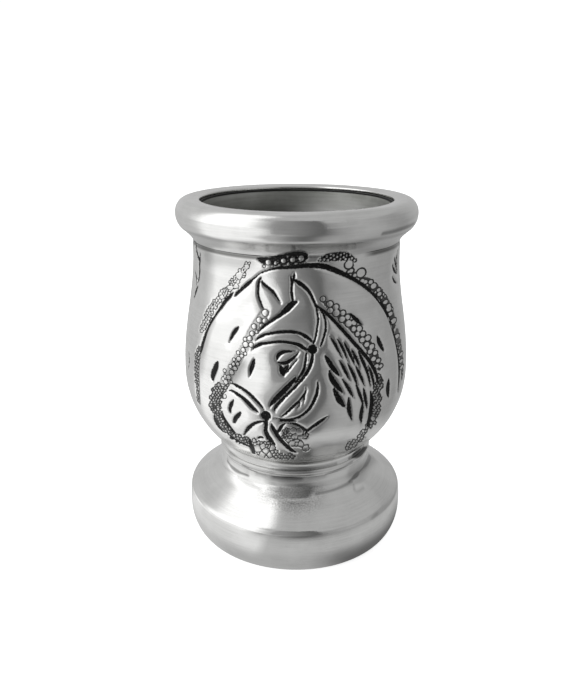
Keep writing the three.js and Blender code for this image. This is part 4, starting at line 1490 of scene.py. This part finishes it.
def aluminium(name, lines_per_metre, roughness, grain, chased):
    """Spun aluminium with lathe lines, a fine grain, smudges and painted shade; chased sheet has black in its
    lines.
    """
    material, nodes, shader, where = new_material(name)
    look = finish()
    base = metal_base(nodes, where, lines_per_metre, SHELL_SMUDGES)
    worn = nodes.times(base["Smudge"], nodes.plus(WORN_SHARE, nodes.times(base["Streak"], WORN_STREAK)))
    shade = nodes.blend(worn, rgba(look.aluminium), rgba(look.aluminium_worn))
    shade = nodes.blend(nodes.times(base["Streak"], STREAK_SHARE), shade, rgba(look.aluminium_worn))
    rough = nodes.plus(roughness, nodes.times(base["Streak"], STREAK_ROUGH))
    rough = nodes.plus(rough, nodes.times(base["Smudge"], SMUDGE_ROUGH))
    # This mark holds the smudges and the painted shade in the cove, at its fold and in the soft films.
    grime_and_shade = nodes.times(nodes.mark("grime_and_shade"), nodes.ramp(base["Streak"], 0.0, 1.0, 1.0, GRIME_AND_SHADE_STREAK))
    shade = nodes.blend(grime_and_shade, shade, rgba(look.grime_and_shade))
    rough = nodes.plus(rough, nodes.times(grime_and_shade, GRIME_AND_SHADE_ROUGH))
    height = nodes.plus(nodes.times(base["Height"], LINE_RELIEF), nodes.times(base["Grain"], grain))
    speck = nodes.ramp(nodes.noise(where, scale=3200.0, roughness=0.6), *SPECK_RANGE)
    sandy = nodes.times(nodes.times(nodes.mark("sand"), speck), SAND_SHARE)
    shade = nodes.blend(sandy, shade, rgba(look.grime_and_shade))
    if chased:
        black, film = patina(nodes, where)
        shade = nodes.blend(film, shade, rgba(look.thin_patina_and_shade))
        shade = nodes.blend(black, shade, rgba(look.patina))
        rough = nodes.plus(rough, nodes.times(black, PATINA_ROUGH))
        height = nodes.minus(height, nodes.times(black, PATINA_RELIEF))
        nodes.put(nodes.minus(1.0, nodes.times(black, PATINA_DULL)), shader.inputs["Metallic"])
        shader.inputs["Specular IOR Level"].default_value = PATINA_GLOSS
    else:
        shader.inputs["Metallic"].default_value = 1.0
    nodes.put(shade, shader.inputs["Base Color"])
    nodes.put(rough, shader.inputs["Roughness"])
    nodes.put(nodes.bump(height, SHELL_BUMP, BUMP_DEPTH), shader.inputs["Normal"])
    return material


def dull_aluminium():
    """The liner's aluminium, dulled and filmed by tea, with painted shade deep on the left, painted sheen
    deep on the right and broad lathe streaks.
    """
    material, nodes, shader, where = new_material("dull_aluminium")
    look = finish()
    base = metal_base(nodes, where, LINER_LINES, LINER_SMUDGES)
    tone = nodes.plus(nodes.times(base["Smudge"], STAIN_SMUDGE), nodes.times(base["Streak"], STAIN_STREAK))
    across, _, up = nodes.split(where)
    deep = nodes.ramp(up, *DEEP_HEIGHTS)
    # Tea film and painted shade: darker deep on the left side of the liner.
    tea = nodes.times(deep, nodes.ramp(across, *TEA_AND_SHADE_SIDES, 0.0, TEA_AND_SHADE_SHARE))
    # Painted sheen: lighter metal deep on the right side of the liner.
    clean = nodes.times(deep, nodes.ramp(across, *SHEEN_SIDES, 0.0, SHEEN_SHARE))
    shade = nodes.blend(tone, rgba(look.liner), rgba(look.liner_stain))
    shade = nodes.blend(clean, shade, rgba(look.aluminium))
    shade = nodes.blend(tea, shade, rgba(look.liner_tea_and_shade))
    top = sizes().liner_top
    black = nodes.ramp(up, top - LIP_LINE_FOOT, top + LIP_LINE_RISE, 0.0, LIP_LINE_SHARE)
    nodes.put(nodes.blend(black, shade, rgba(look.seal)), shader.inputs["Base Color"])
    nodes.put(nodes.plus(LINER_ROUGH, nodes.times(tone, LINER_TONE_ROUGH)), shader.inputs["Roughness"])
    nodes.put(nodes.bump(base["Height"], LINER_BUMP, BUMP_DEPTH), shader.inputs["Normal"])
    shader.inputs["Metallic"].default_value = 1.0
    return material


def black_seal():
    """Black seal with a faint grey bloom."""
    material, nodes, shader, where = new_material("black_seal")
    look = finish()
    marks = nodes.shared(handling_marks(), {"Vector": where, "Scale": SEAL_SMUDGES})
    shade = nodes.blend(marks["Smudge"], rgba(look.seal), rgba(look.seal_dust))
    nodes.put(shade, shader.inputs["Base Color"])
    rough = nodes.plus(SEAL_ROUGH, nodes.times(marks["Grain"], SEAL_GRAIN_ROUGH))
    nodes.put(rough, shader.inputs["Roughness"])
    return material


def turned_wood():
    """Dark turned wood with growth rings and lathe lines, seen only under the foot."""
    material, nodes, shader, where = new_material("turned_wood")
    look = finish()
    heart = {"Vector": where, "Location": WOOD_HEART, "Scale": WOOD_STRETCH}
    moved = nodes.add("ShaderNodeMapping", heart).outputs[0]
    rings = nodes.add("ShaderNodeTexWave", {"Vector": moved, "Scale": WOOD_RINGS, "Distortion": 2.4,
                                            "Detail": 3.0, "Detail Scale": 1.6},
                      wave_type="RINGS", rings_direction="Z")
    grain = nodes.noise(moved, scale=900.0, detail=4.0, roughness=0.6)
    tone = nodes.times(rings.outputs["Fac"], nodes.ramp(grain, *WOOD_GRAIN_RANGE, *WOOD_RING_SHARES))
    lines = nodes.shared(turning_lines(), {"Vector": where, "Lines per metre": WOOD_LINES})
    height = nodes.plus(lines["Height"], nodes.times(grain, WOOD_GRAIN_RELIEF))
    covered = nodes.ramp(nodes.split(where)[2], *WOOD_SHOWN)
    shade = nodes.blend(tone, rgba(look.wood), rgba(look.wood_dark))
    nodes.put(nodes.blend(covered, shade, rgba(look.patina)), shader.inputs["Base Color"])
    nodes.put(nodes.plus(WOOD_ROUGH, nodes.times(grain, WOOD_GRAIN_ROUGH)), shader.inputs["Roughness"])
    nodes.put(nodes.bump(height, WOOD_BUMP, WOOD_BUMP_DEPTH), shader.inputs["Normal"])
    return material


def room_light():
    """Node group: brightness of the room by direction, with a broad window on the left and a dark front."""
    if "Room light" in bpy.data.node_groups:
        return bpy.data.node_groups["Room light"]
    nodes, given, result = node_group(
        "Room light", (("Vector", "NodeSocketVector", None),), (("Brightness", "NodeSocketFloat"),))
    across, ahead, up = nodes.split(given.outputs["Vector"])
    rise = nodes.math("ARCTAN2", up, nodes.flat_length(across, ahead))
    turn = nodes.math("ARCTAN2", across, nodes.times(ahead, -1.0))
    turn = nodes.plus(turn, nodes.ramp(rise, *np.radians(HIGH_RISE), 0.0, math.radians(HIGH_TURN)))
    share = nodes.math("FRACT", nodes.plus(nodes.math("DIVIDE", turn, 2 * math.pi), 0.5))
    ramp = nodes.add("ShaderNodeValToRGB", {0: share})
    stops = ramp.color_ramp.elements
    while len(stops) > 1:
        stops.remove(stops[-1])
    for i, (degrees, bright) in enumerate(ROOM_STOPS):
        place = (degrees + 180) / 360
        stop = stops[0] if i == 0 else stops.new(place)
        stop.position = place
        stop.color = (bright, bright, bright, 1)
    wall_up = nodes.times(nodes.ramp(rise, *np.radians(WALL_RISE)), WALL_BRIGHT)
    walls = nodes.larger(ramp.outputs["Color"], wall_up)
    level = nodes.between(nodes.ramp(rise, *np.radians(ZENITH_RISE)), walls, ZENITH_BRIGHT)
    nodes.put(level, result.inputs["Brightness"])
    return nodes.tree


def room_in(nodes, where):
    """The room's brightness in a direction."""
    return nodes.shared(room_light(), {"Vector": where})["Brightness"]


def turned_room(nodes, place, angle):
    """The room's brightness as the floor shows it, turned by an angle and seen from the cup's middle."""
    below = nodes.vector("ADD", place, (0, 0, -CUP_MIDDLE))[0]
    turned = nodes.add("ShaderNodeVectorRotate", {"Vector": below, "Angle": angle}, rotation_type="Z_AXIS")
    return room_in(nodes, turned.outputs[0])


def mirrored_floor(nodes, where):
    """How bright the metal sees the floor: in shade at the foot, then near it, then in the room's light."""
    away = nodes.vector("LENGTH", where)["Value"]
    aside = nodes.vector("DOT_PRODUCT", nodes.vector("NORMALIZE", where)[0], SHADE_SIDE)["Value"]
    contact = nodes.ramp(aside, *CONTACT_SIDES, CONTACT_LEFT, CONTACT_BRIGHT)
    contact = nodes.times(contact, nodes.ramp(aside, *CONTACT_SHADE_SIDES, 1.0, CONTACT_SHADE))
    near = nodes.smaller(turned_room(nodes, where, math.radians(NEAR_TURN)), NEAR_FLOOR_HIGH)
    near = nodes.larger(near, NEAR_FLOOR_LOW)
    close = nodes.between(nodes.ramp(away, *CONTACT_REACH), contact, near)
    angle = nodes.ramp(away, *FAR_REACH, math.radians(MIDDLE_TURN), math.radians(FAR_TURN))
    far = nodes.smaller(nodes.times(turned_room(nodes, where, angle), FLOOR_SHARE), FLOOR_TOP)
    return nodes.between(nodes.ramp(away, *NEAR_REACH), close, far)


def pale_floor():
    """White floor that keeps a faint shadow for the camera; the metal sees the room's light on it."""
    material, nodes, shader, where = new_material("pale_floor")
    nodes.tree.nodes.remove(shader)
    pale = finish().floor
    tint = nodes.blend(nodes.noise(where, FLOOR_CLOUDS), rgba(pale), rgba([v * FLOOR_TINT for v in pale]))
    matt = nodes.add("ShaderNodeBsdfDiffuse", {"Color": tint}).outputs[0]
    glow = nodes.add("ShaderNodeEmission", {"Color": tint, "Strength": FLOOR_GLOW}).outputs[0]
    shown = nodes.add("ShaderNodeAddShader", {0: matt, 1: glow}).outputs[0]
    lit = nodes.add("ShaderNodeEmission", {"Strength": mirrored_floor(nodes, where)}).outputs[0]
    seen = nodes.add("ShaderNodeLightPath").outputs["Is Camera Ray"]
    both = nodes.add("ShaderNodeMixShader", {0: seen, 1: lit, 2: shown}).outputs[0]
    nodes.put(both, nodes.tree.nodes["Material Output"].inputs["Surface"])
    return material


def shade_card():
    """Dark grey of the card behind the camera, darker towards its right."""
    material, nodes, shader, where = new_material("camera_shade")
    nodes.tree.nodes.remove(shader)
    bright = nodes.ramp(nodes.split(where)[0], SHADE_LEFT, SHADE_RIGHT, *SHADE_BRIGHT)
    glow = nodes.add("ShaderNodeEmission", {"Strength": bright}).outputs[0]
    nodes.put(glow, nodes.tree.nodes["Material Output"].inputs["Surface"])
    return material


class MATECUP_OT_wood_core(bpy.types.Operator):
    """Turn the wooden core that carries all the shells"""

    bl_idname = "matecup.wood_core"
    bl_label = "Wooden core"

    def execute(self, context):
        bm = spun(core_section(sizes()), full_turn(CORE_STEPS))
        placed(bm, "turned_core", turned_wood(), "wood_core")
        return {"FINISHED"}


class MATECUP_OT_inner_cup(bpy.types.Operator):
    """Spin the aluminium liner"""

    bl_idname = "matecup.inner_cup"
    bl_label = "Inner cup"

    def execute(self, context):
        bm = spun(liner_section(sizes()), full_turn())
        placed(bm, "cup_liner", dull_aluminium(), "inner_cup")
        return {"FINISHED"}


class MATECUP_OT_rim_seal(bpy.types.Operator):
    """Make the black seal between liner and rim"""

    bl_idname = "matecup.rim_seal"
    bl_label = "Rim seal"

    def execute(self, context):
        bm = spun(seal_section(sizes()), full_turn())
        placed(bm, "seal_ring", black_seal(), "rim_seal")
        return {"FINISHED"}


class MATECUP_OT_plain_shells(bpy.types.Operator):
    """Spin the two plain aluminium shells: waist collar and foot"""

    bl_idname = "matecup.plain_shells"
    bl_label = "Plain shells"

    def execute(self, context):
        s = sizes()
        metal = aluminium("satin_aluminium", SHELL_LINES, roughness=0.08, grain=0.12, chased=False)
        shells = {
            "waist_ring": ("waist_collar", wall(waist_line(s), s.sheet)),
            "foot_shell": ("domed_foot", wall(foot_line(s), s.sheet)),
        }
        for node, (name, section) in shells.items():
            bm = spun(section, full_turn(SHELL_STEPS))
            smudge(bm, s)
            placed(bm, name, metal, node)
        return {"FINISHED"}


class MATECUP_OT_body_shell(bpy.types.Operator):
    """Spin the body and chase the horse and horseshoe into it"""

    bl_idname = "matecup.body_shell"
    bl_label = "Chased body"

    def execute(self, context):
        s = sizes()
        bm = spun(body_section(s), chased_turn())
        smudge(bm, s)
        chase(bm, s, s.neck_top, s.height)
        metal = aluminium("chased_aluminium", BODY_LINES, roughness=0.11, grain=0.1, chased=True)
        placed(bm, "chased_body", metal, "body_shell")
        return {"FINISHED"}


class MATECUP_OT_rim_ring(bpy.types.Operator):
    """Spin the beaded rim; the top of the drawing runs on to its cove"""

    bl_idname = "matecup.rim_ring"
    bl_label = "Rim ring"

    def execute(self, context):
        s = sizes()
        bm = spun(rim_section(s), chased_turn())
        smudge(bm, s)
        chase(bm, s, 0.0, s.cove_height)
        metal = aluminium("satin_aluminium_rim", SHELL_LINES, roughness=0.1, grain=0.1, chased=True)
        placed(bm, "beaded_rim", metal, "rim_ring")
        return {"FINISHED"}


def top_box(power):
    """A square soft box above, which looks at the cup's middle and isn't mirrored by the metal."""
    light = bpy.data.lights.new("top_box", "AREA")
    light.shape = "RECTANGLE"
    light.size = TOP_BOX_SIZE
    light.size_y = TOP_BOX_SIZE
    light.energy = power
    lamp = bpy.data.objects.new("top_box", light)
    lamp.location = TOP_BOX_PLACE
    lamp.visible_glossy = False
    aim = Vector((0, 0, CUP_MIDDLE)) - Vector(TOP_BOX_PLACE)
    lamp.rotation_euler = aim.to_track_quat("-Z", "Y").to_euler()
    bpy.context.collection.objects.link(lamp)


def camera_shade(s):
    """A dark card right behind the camera, which the metal mirrors in front of it."""
    bm = bmesh.new()
    bmesh.ops.create_grid(bm, x_segments=2, y_segments=2, size=0.5)
    for vert in bm.verts:
        across = SHADE_LEFT + (SHADE_RIGHT - SHADE_LEFT) * (vert.co.x + 0.5)
        up = SHADE_LOW + (SHADE_HIGH - SHADE_LOW) * (vert.co.y + 0.5)
        vert.co = (across, -s.camera_distance - SHADE_BEHIND, up)
    card = mesh_object(bm, "camera_shade", shade_card())
    card.visible_camera = False
    card.visible_diffuse = False
    card.visible_shadow = False


def floor_plate():
    """A wide plate that the cup stands on, a hair below its foot."""
    bm = bmesh.new()
    bmesh.ops.create_grid(bm, x_segments=4, y_segments=4, size=FLOOR_SIZE)
    bmesh.ops.translate(bm, verts=bm.verts, vec=(0, 0, -FLOOR_SINK))
    floor = mesh_object(bm, "floor", pale_floor())


def room_world():
    """The room as the world's light: its brightness for the metal, plain white for the camera."""
    world = bpy.data.worlds.new("room")
    world.use_nodes = True
    nodes = Nodes(world.node_tree)
    seen = nodes.add("ShaderNodeLightPath").outputs["Is Camera Ray"]
    where = nodes.add("ShaderNodeTexCoord").outputs["Generated"]
    background = nodes.tree.nodes["Background"]
    nodes.put(nodes.between(seen, room_in(nodes, where), BACKDROP), background.inputs["Strength"])
    background.inputs["Color"].default_value = (1, 1, 1, 1)
    return world


def photo_camera(s):
    """The camera that sees the cup as the photograph does."""
    data = bpy.data.cameras.new("camera")
    data.sensor_fit = "VERTICAL"
    data.sensor_height = SENSOR_HEIGHT
    data.lens = s.focal_pixels / PHOTO_HEIGHT * SENSOR_HEIGHT
    data.clip_start = CLIP_START
    camera = bpy.data.objects.new("camera", data)
    camera.location = camera_place(s)
    camera.rotation_euler = (math.pi / 2 - s.camera_pitch, 0, 0)
    bpy.context.collection.objects.link(camera)
    return camera


class MATECUP_OT_stage(bpy.types.Operator):
    """Set the floor, the soft light and the camera"""

    bl_idname = "matecup.stage"
    bl_label = "Stage"

    def execute(self, context):
        s = stage()
        scene = context.scene
        floor_plate()
        camera_shade(s)
        top_box(s.top_power)
        scene.world = room_world()
        scene.camera = photo_camera(s)
        scene.view_settings.view_transform = "Standard"
        return {"FINISHED"}


class MATECUP_PT_panel(bpy.types.Panel):
    """Sidebar list of the cup's pieces"""

    bl_idname = "MATECUP_PT_panel"
    bl_label = "Mate cup"
    bl_space_type = "VIEW_3D"
    bl_region_type = "UI"
    bl_category = "Mate cup"

    def draw(self, context):
        for operator in OPERATORS:
            self.layout.operator(operator.bl_idname)


GROUPS = {"mate_cup_sizes": MateCupSizes, "mate_cup_finish": MateCupFinish, "mate_cup_stage": MateCupStage}
OPERATORS = (MATECUP_OT_wood_core, MATECUP_OT_inner_cup, MATECUP_OT_rim_seal, MATECUP_OT_plain_shells,
             MATECUP_OT_body_shell, MATECUP_OT_rim_ring, MATECUP_OT_stage)


def register():
    """Registers the property groups, the operators and the panel."""
    for name, group in GROUPS.items():
        bpy.utils.register_class(group)
        setattr(bpy.types.Scene, name, PointerProperty(type=group))
    for operator in OPERATORS:
        bpy.utils.register_class(operator)
    bpy.utils.register_class(MATECUP_PT_panel)


def unregister():
    """Takes the panel, the operators and the property groups out again."""
    bpy.utils.unregister_class(MATECUP_PT_panel)
    for operator in reversed(OPERATORS):
        bpy.utils.unregister_class(operator)
    for name, group in reversed(GROUPS.items()):
        delattr(bpy.types.Scene, name)
        bpy.utils.unregister_class(group)


def main():
    register()
    bpy.ops.matecup.wood_core()
    bpy.ops.matecup.inner_cup()
    bpy.ops.matecup.rim_seal()
    bpy.ops.matecup.plain_shells()
    bpy.ops.matecup.body_shell()
    bpy.ops.matecup.rim_ring()
    bpy.ops.matecup.stage()


if __name__ == "__main__":
    main()
